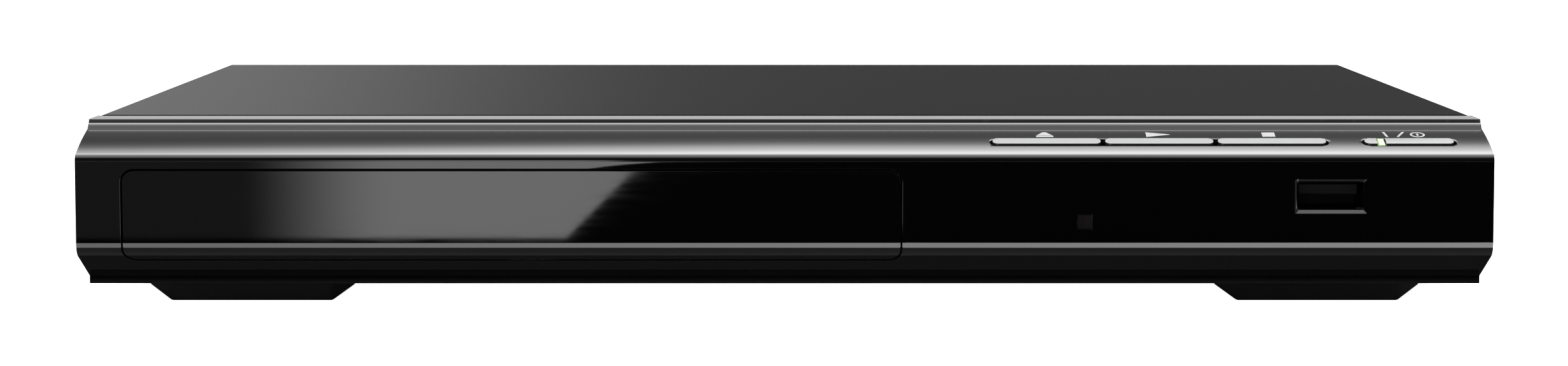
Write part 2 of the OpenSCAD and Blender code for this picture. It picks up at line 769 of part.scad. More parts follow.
bridge_d = [disc_d - 17, disc_d + 17];
clamp_r = 12;

module clamp_bridge() {
    color("#b4b6ba") difference() {
        union() {
            up([bridge_z, bridge_z + bridge_t])
                round_rect([wall_l - wall_t, wall_r + wall_t], bridge_d, 3);
            for (d = [bridge_d[0] + 1, bridge_d[1] - 2])
                slab([wall_l + 8, wall_r - 8], [d, d + 1],
                    [bridge_z + bridge_t - eps, bridge_z + bridge_t + 1.2]);
        }
        post(tray_x, disc_d, [bridge_z - 1, bridge_z + 4], clamp_r + 0.6);
        for (x = [wall_l - wall_t / 2, wall_r + wall_t / 2]) for (d = [bridge_d[0] + 6, bridge_d[1] - 6])
            post(x, d, [bridge_z - 1, bridge_z + 4], 1);
        for (x = [tray_x - 40, tray_x + 40]) up([bridge_z - 1, bridge_z + 4])
            round_rect(span(x, 26), span(disc_d, 14), 4);
    }
}

clamp_low = 25.8;
clamp_seat = bridge_z + bridge_t + 0.05;

module clamper() {
    color("#d8d8d4") difference() {
        union() {
            post(tray_x, disc_d, [clamp_low, clamp_seat + 1], clamp_r);
            post(tray_x, disc_d, [clamp_seat, clamp_seat + 1], clamp_r + 3);
        }
        post(tray_x, disc_d, [clamp_low - 1, clamp_low + 2.6], 8.4);
        difference() {
            post(tray_x, disc_d, [clamp_low + 4.2, clamp_seat + 2], clamp_r - 1.6);
            post(tray_x, disc_d, [clamp_low + 4, clamp_seat + 2], 7.6);
        }
        post(tray_x, disc_d, [clamp_seat - 2.6, clamp_seat + 2], 6.05);
    }
}

module clamper_magnet() {
    color("#606468") post(tray_x, disc_d, [clamp_seat - 2.6, clamp_seat + 0.6], 6);
}

module loading_motor() {
    color("#a8acb0") {
        post(motor_x, train_d, [floor_z + 0.4, frame_top + 2.2], motor_r);
        post(motor_x, train_d, [frame_top + 2.2, frame_top + 3], 3);
        post(motor_x, train_d, [frame_top + 3, belt_z + 1.8], 1);
    }
}

// A pulley with a groove for the belt
module pulley_body(x, r) {
    translate([x, front_y + train_d, belt_z]) rotate_extrude()
        polygon([[1.5, -0.6], [r + 1, -0.6], [r + 1, -0.1], [r, 0.1], [r, belt_t - 0.1],
            [r + 1, belt_t + 0.1], [r + 1, belt_t + 0.5], [1.5, belt_t + 0.5]]);
}

module motor_pulley() {
    color("#e0d8c0") difference() {
        union() {
            pulley_body(motor_x, motor_pulley_r);
            post(motor_x, train_d, [belt_z - 0.6, belt_z + 1.7], 2);
        }
        post(motor_x, train_d, [belt_z - 1, belt_z + 2], 1 + run_gap);
    }
}

// The belt's outline: two half turns joined by straight runs
function belt_points(r1, r2, c) =
    let(a = acos((r1 - r2) / c))
    concat(arc([pulley_x, train_d], r1, a, 360 - a, 32), arc([pulley_x + c, train_d], r2, -a, a, 16));

module belt() {
    gap = 0.03;
    c = motor_x - pulley_x;
    color("#202020") up([belt_z + 0.12, belt_z + belt_t - 0.12]) difference() {
        polygon(belt_points(pulley_r + gap + belt_t, motor_pulley_r + gap + belt_t, c));
        polygon(belt_points(pulley_r + gap, motor_pulley_r + gap, c));
    }
}

module pulley_gear() {
    color("#e8e4d8") difference() {
        union() {
            gear(pulley_x, train_d, [wheel_z, belt_z - 0.5], wheel_m, small_teeth, 180 / small_teeth);
            pulley_body(pulley_x, pulley_r);
            post(pulley_x, train_d, [wheel_z, belt_z + belt_t + 0.5], 3);
        }
        post(pulley_x, train_d, [wheel_z - 1, belt_z + 4], shaft_r + run_gap);
        for (a = [0:60:300]) translate([pulley_x, front_y + train_d, belt_z - 1]) rotate(a)
            translate([6.6, 0, 0]) cylinder(r = 1.7, h = 4);
    }
}

module drive_gear() {
    color("#e8e4d8") difference() {
        union() {
            gear(drive_x, train_d, [wheel_z, wheel_z + wheel_h], wheel_m, wheel_teeth);
            post(drive_x, train_d, [wheel_z, skirt_low - 0.4], 4);
            gear(drive_x, train_d, [skirt_low - 0.4, tray_low - 0.4], rack_m, drive_teeth);
        }
        post(drive_x, train_d, [wheel_z - 1, tray_low + 1], shaft_r + run_gap);
        for (a = [0:60:300]) translate([drive_x, front_y + train_d, wheel_z - 1]) rotate(a)
            translate([7.6, 0, 0]) cylinder(r = 2, h = wheel_h + 2);
    }
}

// ---- Lift and pickup ----

cam_x = [tray_x - 30, tray_x + 26];

// The cam plate: its slanting slot lifts the deck's pin as the plate slides sideways
module cam_slider() {
    color("#c8c4b8") difference() {
        union() {
            slab(cam_x, [cam_d, cam_d + cam_t],
                [frame_top + fit_gap, cam_pin_z + cam_rise + cam_slot_r + 1.2]);
            for (x = [cam_x[0], cam_x[1] - 4])
                slab([x, x + 4], [cam_d - 1.6, cam_d + eps], [frame_top + 1.8, frame_top + 4]);
        }
        // At rest the pin is at the slot's low right end, past which the slot runs level
        inwards([cam_d - 2, cam_d + cam_t + 1]) {
            translate([tray_x - cam_travel, cam_pin_z + cam_rise]) circle(cam_slot_r);
            translate([tray_x, cam_pin_z]) rotate(180 - atan(cam_rise / cam_travel))
                translate([0, -cam_slot_r])
                square([sqrt(pow(cam_travel, 2) + pow(cam_rise, 2)), 2 * cam_slot_r]);
            translate([tray_x, cam_pin_z]) circle(cam_slot_r);
            rect([tray_x, tray_x + 3], span(cam_pin_z, 2 * cam_slot_r));
            translate([tray_x + 3, cam_pin_z]) circle(cam_slot_r);
        }
    }
}

sled_window = [tray_x - rod_gap / 2 + 4.4, tray_x + rod_gap / 2 - 4.4];
rod_d = [sled_d - 3, sled_d + sled_l + sled_travel + 4];
rod_xs = [tray_x - rod_gap / 2, tray_x + rod_gap / 2];

module lift_deck() {
    color("#8a8c90") difference() {
        union() {
            up([deck_z, deck_top]) round_rect([deck_l, deck_r], [deck_front, hinge_d + 1], 4);
            // Rims that stiffen the plate
            for (x = [deck_l, deck_r - 1])
                slab([x, x + 1], [deck_front + 4, hinge_d - 3], [deck_z, deck_top + 1.5]);
            // Rod holders
            for (x = rod_xs) for (d = rod_d)
                slab(span(x, 6), span(d, 4), [deck_top - eps, rod_z + rod_r + 0.8]);
            // Hinge and cam pins
            for (x = [deck_l - deck_gap - 3.8, deck_r - 3])
                cross_pin([x, x + deck_gap + 6.8], hinge_d, hinge_z, hinge_r);
            for (x = [deck_l, deck_r - 4])
                slab([x, x + 4], [hinge_d - 4, hinge_d + 2], [deck_z, hinge_z + 2.2]);
            deep_pin(tray_x, [cam_d - 0.6, deck_front + 1], cam_pin_z, cam_pin_r);
            slab(span(tray_x, 8), [deck_front, deck_front + 2], [deck_z - 1, deck_top + 1]);
            post(sled_gear_x, sled_gear_d, [deck_top - eps, deck_top + 4.4], 1);
        }
        up([deck_z - 1, deck_top + 1]) round_rect(sled_window, [sled_d - 4.6, rod_d[1] - 4], 2);
        post(tray_x, disc_d, [deck_z - 1, deck_top + 1], 4);
        post(sled_gear_x, sled_motor_d, [deck_z - 1, deck_top + 1], 2);
        for (x = rod_xs) deep_pin(x, [rod_d[0] - 3, rod_d[1] + 3], rod_z, rod_r);
        for (p = damper_at) post(p[0], p[1], [deck_z - 1, deck_top + 1], 2.5);
    }
}

damper_at = [[deck_l + 5, deck_front + 5], [deck_r - 5, deck_front + 5], [deck_l + 5, hinge_d - 12],
    [deck_r - 5, hinge_d - 12]];

module deck_dampers() {
    color("#1a1a1a") for (p = damper_at) difference() {
        union() {
            post(p[0], p[1], [deck_z - 1, deck_top + 1], 2.5);
            for (z = [deck_z - 1, deck_top]) post(p[0], p[1], [z, z + 1], 3.4);
        }
        post(p[0], p[1], [deck_z - 2, deck_top + 2], 1.2);
    }
}

module spindle_motor() {
    color("#9ea2a6") difference() {
        union() {
            post(tray_x, disc_d, [deck_top, deck_top + 0.8], 11.5);
            post(tray_x, disc_d, [deck_z - 2.4, deck_top + 0.1], 3.9);
            post(tray_x, disc_d, [deck_top, table_z - 3.4], 10.5);
        }
        post(tray_x, disc_d, [deck_z - 1.4, table_z], spindle_r + run_gap);
    }
}

module turntable() {
    color("#5a5e62") {
        difference() {
            union() {
                post(tray_x, disc_d, [table_z - 3.2, table_z - 0.5], table_r - 1.5);
                post(tray_x, disc_d, [table_z - 1.6, table_z], table_r);
                translate([tray_x, front_y + disc_d, table_z - eps]) cylinder(r1 = 7.4, r2 = 6.6, h = 2);
            }
            // The seat for the disc is a ring with a groove inside it
            difference() {
                post(tray_x, disc_d, [table_z - 0.5, table_z + 1], table_r - 3.2);
                post(tray_x, disc_d, [table_z - 1, table_z + 3], 7.41);
            }
            for (a = [0:60:300]) translate([tray_x, front_y + disc_d, table_z + 0.4]) rotate(a)
                translate([5, -0.4, 0]) cube([4, 0.8, 3]);
        }
        post(tray_x, disc_d, [deck_z - 1.2, table_z - 3], spindle_r);
    }
}

module guide_rods() {
    color("#d4d6da") for (x = rod_xs) deep_pin(x, [rod_d[0] - 2, rod_d[1] + 2], rod_z, rod_r);
}

sled_ds = [sled_d, sled_d + sled_l];
sled_low = deck_top - 2.6;

module pickup_sled() {
    color("#46484c") difference() {
        union() {
            up([sled_low, rod_z + 1.4]) round_rect(grow(sled_window, -0.6), sled_ds, 2);
            up([rod_z + 1.4 - eps, rod_z + 3]) round_rect(span(tray_x, 26), grow(sled_ds, -2), 3);
            for (x = rod_xs) slab(span(x, 5.8), sled_ds, [deck_top + 0.5, rod_z + rod_r + 1.2]);
            // Webs that join the sleeves to the body
            for (s = [-1, 1]) slab(span(tray_x + s * (rod_gap / 2 - 5), 5), grow(sled_ds, -1),
                [deck_top + 0.5, rod_z + 1.4]);
            up([rod_z - 1, rod_z + 0.9]) polygon(
                rack_points(rack_x, rack_x - 3, sled_gear_d, sled_m, sled_first, 1));
        }
        for (x = rod_xs) deep_pin(x, grow(sled_ds, 1), rod_z, rod_r + run_gap);
        post(tray_x, sled_d + sled_l / 2, [rod_z, rod_z + 4], 4.4);
        slab(span(tray_x, 20), grow(sled_ds, -5), [sled_low - 1, sled_low + 1.6]);
    }
}

module pickup_lens() {
    at = [tray_x, front_y + sled_d + sled_l / 2, rod_z];
    color("#8fa6c8") translate(at) difference() {
        union() {
            cylinder(r = 4, h = 2.6);
            intersection() {
                translate([0, 0, -0.6]) sphere(r = 4);
                translate([0, 0, 2.6]) cylinder(r = 2.4, h = 2);
            }
        }
        translate([0, 0, -1]) cylinder(r = 1.8, h = 1.6);
    }
}

sled_gear_z = [deck_top + 0.3, deck_top + 4.2];

module sled_gear() {
    color("#e8e4d8") difference() {
        union() {
            gear(sled_gear_x, sled_gear_d, [rod_z - 1.2, rod_z + 1.1], sled_m, sled_teeth);
            gear(sled_gear_x, sled_gear_d, [sled_gear_z[0], rod_z - 1.2], sled_wheel_m, sled_wheel_teeth);
        }
        post(sled_gear_x, sled_gear_d, [deck_top, rod_z + 3], 1 + run_gap);
    }
}

module sled_motor() {
    color("#a8acb0") {
        post(sled_gear_x, sled_motor_d, [deck_z - 2.6, deck_z], 7);
        post(sled_gear_x, sled_motor_d, [deck_z, deck_top + 2.6], 0.75);
    }
}

module sled_pinion() {
    color("#e8e4d8") difference() {
        gear(sled_gear_x, sled_motor_d, [sled_gear_z[0], rod_z - 1.1], sled_wheel_m, sled_small_teeth,
            -90 + 180 / sled_small_teeth);
        post(sled_gear_x, sled_motor_d, [deck_z, rod_z + 1], 0.75 + run_gap);
    }
}

// ---- Boards ----

main_d = [70, rear_in - 2];
power_d = [80, main_d[1] - 2];
rear_stud_d = frame_back + 10.2;
board_studs = [
    [main_l + 4, main_d[0] + 4], [main_r - 4, main_d[0] + 4], [main_r - 4, rear_stud_d],
    [rear_l + 4, rear_stud_d], [power_l + 4, power_d[0] + 4], [power_r - 4, power_d[0] + 4],
    [power_l + 4, rear_stud_d]
];
screw_head_r = 2.7;

module main_board() {
    color("#2f6b3a") difference() {
        union() {
            up([board_z, board_top]) round_rect([main_l, main_r], main_d, 1);
            up([board_z, board_top]) round_rect([rear_l, main_r], [frame_back + 5, main_d[1]], 1);
        }
        for (p = board_studs) post(p[0], p[1], [board_z - 1, board_top + 1], 1.6);
    }
}

// The places of the chips, measured from the board's front edge
decoder_d = main_d[0] + 46;
memory_d = [decoder_d - 26, decoder_d + 24];
filter_d = main_d[0] + 12;
supply_d = main_d[0] + 88;

module main_chips() {
    color("#1e1e20") {
        slab(span(main_l + 26, 22), span(decoder_d, 22), [board_top, board_top + 1.6]);
        for (d = memory_d) slab(span(main_l + 22, 10), span(d, 20), [board_top, board_top + 1.1]);
        slab(span(main_r - 12, 5), span(decoder_d + 30, 6), [board_top, board_top + 1.6]);
        slab(span(hdmi_x, 20), span(cable_d, 5), [board_top, board_top + cable_socket_h]);
        slab(span(main_l + 4, 5), span(decoder_d, 26), [board_top, board_top + cable_socket_h]);
        slab(span(main_r - 4, 5), span(decoder_d + 10, 20), [board_top, board_top + cable_socket_h + 1]);
    }
}

module can(x, d, r, h) {
    post(x, d, [board_top, board_top + h - 0.5], r);
    post(x, d, [board_top + h - 0.5 - eps, board_top + h], r - 0.5);
}

module main_capacitors() {
    color("#33405c") {
        for (x = [main_l + 16:7:main_r - 9]) can(x, supply_d, 2.5, 8);
        for (i = [0:2]) can(main_r - 9, filter_d + 9 * i, 3.15, 10);
        can(main_r - 14, supply_d + 8, 4, 11);
    }
}

cable_t = 0.5;
cable_d = main_d[0] + 13;
cable_w = 16;
cable_socket_h = 4;

// A flat cable from the main board's connector up and over to the underside of the front board
module front_cable() {
    low = board_top + cable_socket_h;
    crest = low + 9;
    d0 = cable_d;
    d1 = front_board_d[1] - 6;
    color("#dcdcd8") across(span(hdmi_x, cable_w))
        polygon([[d0, low], [d0, crest], [d0 - 10, crest], [d1 + 12, low - 2], [d1, low - 2],
            [d1, front_board_z],
            [d1 + cable_t, front_board_z], [d1 + cable_t, low - 2 + cable_t],
                [d1 + 12 - cable_t, low - 2 + cable_t],
            [d0 - 10 - cable_t, crest + cable_t], [d0 + cable_t, crest + cable_t], [d0 + cable_t, low]]);
}

// A flat cable from the main board to the side of the loader
module loader_cable() {
    low = board_top + cable_socket_h;
    crest = low + 5;
    x0 = wall_r + wall_t;
    x1 = main_l + 4;
    color("#dcdcd8") inwards(span(decoder_d, 24))
        polygon([[x1, low], [x1, crest - cable_t], [x0 + cable_t, crest - cable_t],
            [x0 + cable_t, low - 2], [x0, low - 2],
            [x0, crest], [x1 + cable_t, crest], [x1 + cable_t, low]]);
}

module power_board() {
    color("#b89048") difference() {
        up([board_z, board_top]) round_rect([power_l, power_r], power_d, 1);
        for (p = board_studs) post(p[0], p[1], [board_z - 1, board_top + 1], 1.6);
    }
}

power_mid = (power_l + power_r) / 2;
core_d = power_d[0] + 38;
core_w = 17;
bobbin_w = 9;
mains_can_r = 8;
mains_can_d = core_d + (core_w + 4) / 2 + mains_can_r + board_gap;
sink_d = [power_d[0] + 20, power_d[0] + 54];
sink_t = 1.6;
fin_pitch = 6;

module transformer() {
    color("#d8b040") {
        slab(span(power_mid, core_w), span(core_d, core_w + 4), [board_top, board_top + 2]);
        slab(span(power_mid, bobbin_w), span(core_d, core_w), [board_top + 2, board_top + 15]);
        difference() {
            slab(span(power_mid, core_w + 6), span(core_d, 7), [board_top + 3.4, board_top + 19]);
            slab(span(power_mid, bobbin_w - eps), span(core_d, 9), [board_top + 2, board_top + 15]);
        }
    }
}

module mains_capacitor() {
    color("#28303c") translate([power_mid + mains_can_r, front_y + mains_can_d, board_top]) {
        cylinder(r = mains_can_r, h = 19);
        translate([0, 0, 19 - eps]) cylinder(r = mains_can_r - 1, h = 1);
    }
}

module heat_sink() {
    color("#aab0b4") {
        slab([power_l + 4, power_l + 4 + sink_t], sink_d, [board_top, board_top + 17]);
        for (d = [sink_d[0] + 1:fin_pitch:sink_d[1] - 1])
            slab([power_l + 4 + sink_t - eps, power_l + 8.4], [d, d + 1.2], [board_top + 2, board_top + 17]);
    }
}

module power_parts() {
    color("#404448") {
        for (i = [0:1]) can(power_mid - 2, power_d[0] + 12 + 10 * i, 4, 12);
        for (i = [0:3])
            deep_pin(power_r - 5 + eps * i, span(power_d[0] + 13 + 9 * i, 6), board_top + 1.6, 1.4);
        slab(span(power_l + 10, 7), span(power_d[1] - 32.2, 16), [board_top, board_top + 13]);
        slab(span(power_mid + 10, 14), span(power_d[1] - 22.2, 12), [board_top, board_top + 8]);
        slab([power_l + 1, power_l + 6], span(sink_d[1] + 8, 14), [board_top, board_top + 5]);
    }
}

// ---- Rear sockets ----

module hdmi_outline(by) {
    w = 14.6 + 2 * by;
    polygon([[-w / 2, 2.5 + by], [w / 2, 2.5 + by], [w / 2, -0.6], [w / 2 - 2.2, -2.6 - by],
        [-w / 2 + 2.2, -2.6 - by],
        [-w / 2, -0.6]]);
}

module hdmi_shell() {
    color("#c8c8cc") difference() {
        inwards([rear_in - 11, case_d + 0.6]) translate([hdmi_x, hdmi_z]) hdmi_outline(0.4);
        inwards([rear_in - 10.6, case_d + 1]) translate([hdmi_x, hdmi_z]) hdmi_outline(0);
    }
}

module hdmi_tongue() {
    color("#202022") {
        inwards([rear_in - 10.55, rear_in - 7]) translate([hdmi_x, hdmi_z]) hdmi_outline(-0.05);
        slab(span(hdmi_x, 11.4), [rear_in - 7 - eps, case_d - 1.6], [hdmi_z - 0.2, hdmi_z + 1.2]);
    }
}

module jack_block() {
    color("#1c1c1e") difference() {
        union() {
            slab([jack_x[1] - 7, jack_x[3] + 7], [rear_in - 11, rear_in - 0.1], [board_top, jack_z + 6.4]);
            slab(span(jack_x[0], 13), [rear_in - 11, rear_in - 0.1], [board_top, jack_z + 6.4]);
        }
        for (x = jack_x) deep_pin(x, [rear_in - 9, case_d], jack_z, jack_r - 0.2);
    }
}

module jack_barrels() {
    color("#d6d6da") for (x = jack_x) difference() {
        union() {
            deep_pin(x, [rear_in - 9, case_d + jack_out], jack_z, jack_r - 0.2);
            deep_pin(x, [case_d + 1.2, case_d + jack_out], jack_z, jack_r);
        }
        deep_pin(x, [rear_in - 8, case_d + jack_out + 1], jack_z, jack_r - 0.9);
    }
}

module jack_ring(x) {
    difference() {
        union() {
            deep_pin(x, [rear_in - 0.1, case_d + 1.2], jack_z, jack_r + 1.5);
            deep_pin(x, [rear_in - 8, case_d + jack_out - 1.4], jack_z, jack_r - 0.95);
        }
        difference() {
            deep_pin(x, [rear_in - 8.5, case_d + jack_out], jack_z, jack_r - 0.15);
            deep_pin(x, [rear_in - 9, case_d + jack_out], jack_z, jack_r - 0.95);
        }
        deep_pin(x, [rear_in - 6, case_d + jack_out + 1], jack_z, 1.7);
    }
}

module jack_ring_orange() { color("#d86a20") jack_ring(jack_x[0]); }
module jack_ring_yellow() { color("#e8c820") jack_ring(jack_x[1]); }
module jack_ring_white() { color("#e8e8e8") jack_ring(jack_x[2]); }
module jack_ring_red() { color("#c02020") jack_ring(jack_x[3]); }

module cord_gland() {
    color("#1e1e20") difference() {
        union() {
            inwards([rear_in - 3.4, case_d + 1]) round_rect(span(gland_x, 8.8), span(gland_z, 10.8), 1.9);
            inwards([case_d, case_d + 2]) round_rect(span(gland_x, 12), span(gland_z, 14), 3);
            inwards([rear_in - 6, rear_in - 0.2]) round_rect(span(gland_x, 12), span(gland_z, 14), 3);
        }
        deep_pin(gland_x, [rear_in - 8, case_d + 4], gland_z, gland_bore);
    }
}

// ---- Screws ----

module screw_down(x, d, z, length) {
    post(x, d, [z, z + 1.5], screw_head_r);
    post(x, d, [z - length, z + eps], 1.2);
}

module screws() {
    color("#b8bcc0") {
        for (p = board_studs) screw_down(p[0], p[1], board_top, 4);
        for (p = frame_studs) screw_down(p[0], p[1], frame_top, 3);
        for (x = cover_screw_x) {
            deep_pin(x, [cover_back, cover_back + 1.5], cover_screw_z, screw_head_r);
            deep_pin(x, [rear_in - 3, cover_back + eps], cover_screw_z, 1.2);
        }
    }
}

chassis();
top_cover();
front_bezel();
tray_door();
disc_tray();
front_feet();
rear_feet();
foot_pads();
eject_button();
play_button();
stop_button();
power_button();
power_light_pipe();
front_board();
key_switches();
power_led();
ir_window();
ir_receiver();
usb_shell();
usb_tongue();
loader_frame();
clamp_bridge();
clamper();
clamper_magnet();
loading_motor();
motor_pulley();
belt();
pulley_gear();
drive_gear();
cam_slider();
lift_deck();
deck_dampers();
spindle_motor();
turntable();
guide_rods();
pickup_sled();
pickup_lens();
sled_gear();
sled_motor();
sled_pinion();
main_board();
main_chips();
main_capacitors();
front_cable();
loader_cable();
power_board();
transformer();
mains_capacitor();
heat_sink();
power_parts();
hdmi_shell();
hdmi_tongue();
jack_block();
jack_barrels();
jack_ring_orange();
jack_ring_yellow();
jack_ring_white();
jack_ring_red();
cord_gland();
screws();
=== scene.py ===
import math
import bmesh
import bpy
from mathutils import Matrix, Vector


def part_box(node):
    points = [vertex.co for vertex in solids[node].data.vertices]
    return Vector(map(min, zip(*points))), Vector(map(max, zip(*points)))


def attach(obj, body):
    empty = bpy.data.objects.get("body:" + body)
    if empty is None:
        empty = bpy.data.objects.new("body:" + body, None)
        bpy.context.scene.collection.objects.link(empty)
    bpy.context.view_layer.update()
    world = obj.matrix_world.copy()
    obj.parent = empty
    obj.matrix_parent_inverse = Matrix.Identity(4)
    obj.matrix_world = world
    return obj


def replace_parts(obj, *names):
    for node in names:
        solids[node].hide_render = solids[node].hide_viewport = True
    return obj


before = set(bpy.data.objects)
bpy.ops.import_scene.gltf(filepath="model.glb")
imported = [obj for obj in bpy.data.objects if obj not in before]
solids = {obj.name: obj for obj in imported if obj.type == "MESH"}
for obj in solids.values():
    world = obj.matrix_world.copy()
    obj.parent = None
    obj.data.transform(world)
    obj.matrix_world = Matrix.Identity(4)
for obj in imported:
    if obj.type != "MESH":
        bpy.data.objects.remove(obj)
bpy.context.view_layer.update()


# ---- Camera ----
# A long lens, set low in front of the face and tipped down a little, as in the photograph. FRONT is the
# front face's plane, in metres.

FRONT = -0.1045
lens = bpy.data.cameras.new("camera")
lens.sensor_width = 36
lens.lens = 88.91
lens.clip_start = 0.02
lens.clip_end = 50
camera = bpy.data.objects.new("camera", lens)
bpy.context.scene.collection.objects.link(camera)
camera.location = (-0.00012, FRONT - 0.73387, 0.09046)
camera.rotation_euler = (math.radians(90 - 4.921), 0, 0)
bpy.context.scene.camera = camera
bpy.context.scene.view_settings.view_transform = "Standard"


# ---- Studio light ----
# One big soft box hangs over the player and reaches a little behind it, with a soft rear edge that the
# sloping top reflects. A low pale backdrop runs all round, with a brighter panel at the left rear and a
# white wall low in front. The camera itself sees plain white.

room = bpy.data.worlds.new("room")
bpy.context.scene.world = room
room.use_nodes = True
tree = room.node_tree
tree.nodes.clear()


def reckon(tree, how, first, second=None, third=None):
    """One step of arithmetic, named by how, on numbers or sockets."""
    node = tree.nodes.new("ShaderNodeMath")
    node.operation = how
    for socket, value in zip(node.inputs, (first, second, third)):
        if isinstance(value, (int, float)):
            socket.default_value = value
        elif value is not None:
            tree.links.new(value, socket)
    return node.outputs[0]


def step_between(tree, value, low, high, start=0.0, end=1.0):
    """A soft step, which is start up to low and end from high on."""
    node = tree.nodes.new("ShaderNodeMapRange")
    node.interpolation_type = "SMOOTHSTEP"
    tree.links.new(value, node.inputs["Value"])
    node.inputs["From Min"].default_value = low
    node.inputs["From Max"].default_value = high
    node.inputs["To Min"].default_value = start
    node.inputs["To Max"].default_value = end
    return node.outputs["Result"]


def grey_ramp(tree, value, stops):
    """Turns a share of a half turn into a level, through stops given as (degrees, level)."""
    node = tree.nodes.new("ShaderNodeValToRGB")
    tree.links.new(value, node.inputs["Fac"])
    ramp = node.color_ramp
    ramp.elements[0].position = stops[0][0] / 180
    ramp.elements[1].position = stops[-1][0] / 180
    for degrees, _ in stops[1:-1]:
        ramp.elements.new(degrees / 180)
    for element, (_, level) in zip(ramp.elements, stops):
        element.color = (level, level, level, 1)
    return node.outputs["Color"]


direction = tree.nodes.new("ShaderNodeTexCoord").outputs["Generated"]
split = tree.nodes.new("ShaderNodeSeparateXYZ")
tree.links.new(direction, split.inputs[0])
aside, back, height = split.outputs
# The angle up from the rear horizon, over the top, to the front horizon, as a share of a half turn
over = reckon(tree, "DIVIDE", reckon(tree, "ARCTAN2", height, back), math.pi)
left_side = reckon(tree, "MAXIMUM", reckon(tree, "MULTIPLY", aside, -1.0), 0.0)
turn = reckon(tree, "ARCTAN2", aside, back)
# A ramp holds no level above 1, so the box's levels are divided by its peak and brought back after it
BOX_PEAK, BOX_SKEW = 8.0, -0.1
box_levels = [(33.0, 0.0), (34.6, 0.03), (36.2, 0.16), (37.7, 0.36), (39.2, 0.8), (40.7, 1.65), (41.6, 2.4),
    (42.5, 2.9), (43.4, 3.6), (44.3, 4.4), (46, 6.6), (52, 7.2), (64, 6.0), (88, 3.7), (100, 2.6),
    (112, 2.2), (116, 2.0), (120, 0.3), (123, 0.0)]
box_over = reckon(tree, "MULTIPLY_ADD", left_side, BOX_SKEW, over)
box_ramp = grey_ramp(tree, box_over, [(degrees, level / BOX_PEAK) for degrees, level in box_levels])
box = reckon(tree, "MULTIPLY", box_ramp, BOX_PEAK)
box_side = step_between(tree, reckon(tree, "ABSOLUTE", aside), 0.25, 0.42, 1.0, 0.0)
low = grey_ramp(tree, over, [(0, 0.05), (3.3, 0.05), (3.5, 0.72), (4.6, 0.7), (5.0, 0.02), (22, 0.02),
    (27, 0.38), (31, 0.335), (40, 0.3), (60, 0.25), (110, 0.25), (120, 0.55), (128, 0.55), (134, 0.08),
    (180, 0.06)])
PANEL_LIGHT, WALL_LIGHT = 1.05, 3.4
panel_high = grey_ramp(tree, over, [(6, 0), (8, 1), (22, 1), (26, 0)])
panel_right = step_between(tree, turn, -0.17, -0.02, 1.0, 0.0)
panel_wide = reckon(tree, "MULTIPLY", panel_right, step_between(tree, turn, -1.3, -0.9))
panel = reckon(tree, "MULTIPLY", panel_high, panel_wide)
# A white wall low in front, left of the middle, fading towards its far left end
wall_side = reckon(tree, "MULTIPLY", step_between(tree, aside, -0.046, -0.042, 1.0, 0.0),
    step_between(tree, aside, -0.135, -0.095, 0.045, 1.0))
front_wall = reckon(tree, "MULTIPLY", step_between(tree, over, 152 / 180, 174 / 180), wall_side)
walls = reckon(tree, "MULTIPLY_ADD", front_wall, WALL_LIGHT, reckon(tree, "MULTIPLY", panel, PANEL_LIGHT))
around = reckon(tree, "ADD", reckon(tree, "MULTIPLY", box, box_side), low)
level = reckon(tree, "ADD", around, walls)
seen = tree.nodes.new("ShaderNodeLightPath")
lit = tree.nodes.new("ShaderNodeMix")
lit.data_type = "FLOAT"
tree.links.new(seen.outputs["Is Camera Ray"], lit.inputs[0])
tree.links.new(level, lit.inputs[2])
lit.inputs[3].default_value = 1.0
glow = tree.nodes.new("ShaderNodeBackground")
tree.links.new(lit.outputs[0], glow.inputs["Strength"])
glow.inputs["Color"].default_value = (1, 1, 1, 1)
tree.links.new(glow.outputs[0], tree.nodes.new("ShaderNodeOutputWorld").inputs["Surface"])
room.cycles.sampling_method = "MANUAL"
room.cycles.sample_map_resolution = 1024


# ---- Floor ----
# A plain matt white table under the feet. It also shines full white to the camera, which hides the player's
# shadow on it. None shows in the photograph either.

def piece_from(bm, name):
    """Makes a drawn shape an object of the scene."""
    shape = bpy.data.meshes.new(name)
    bm.to_mesh(shape)
    bm.free()
    piece = bpy.data.objects.new(name, shape)
    bpy.context.scene.collection.objects.link(piece)
    return piece


bm = bmesh.new()
bmesh.ops.create_grid(bm, x_segments=8, y_segments=8, size=4)
floor = piece_from(bm, "floor")
white_table = bpy.data.materials.new("white_table")
white_table.use_nodes = True
tree = white_table.node_tree
shader = tree.nodes["Principled BSDF"]
shader.inputs["Base Color"].default_value = (0.86, 0.86, 0.86, 1)
shader.inputs["Roughness"].default_value = 0.7
seen = tree.nodes.new("ShaderNodeLightPath")
tree.links.new(seen.outputs["Is Camera Ray"], shader.inputs["Emission Strength"])
shader.inputs["Emission Color"].default_value = (1, 1, 1, 1)
floor.data.materials.append(white_table)


# ---- Cards ----
# White and black cards lie on the table in front, and a dim card beneath the player and just ahead of its
# face is painted shadow of the player on the table. A narrow white strip stands upright just ahead of the
# face's lower edge. They are out of view, and show only in the gloss front.

def card_finish(name):
    """A finish that only shines, with the place on the card and the strength it is given."""
    finish = bpy.data.materials.new(name)
    finish.use_nodes = True
    tree = finish.node_tree
    tree.nodes.clear()
    split = tree.nodes.new("ShaderNodeSeparateXYZ")
    tree.links.new(tree.nodes.new("ShaderNodeTexCoord").outputs["Object"], split.inputs[0])
    shine = tree.nodes.new("ShaderNodeEmission")
    shine.inputs["Color"].default_value = (1, 1, 1, 1)
    tree.links.new(shine.outputs[0], tree.nodes.new("ShaderNodeOutputMaterial").inputs["Surface"])
    return finish, tree, split.outputs, shine.inputs["Strength"]


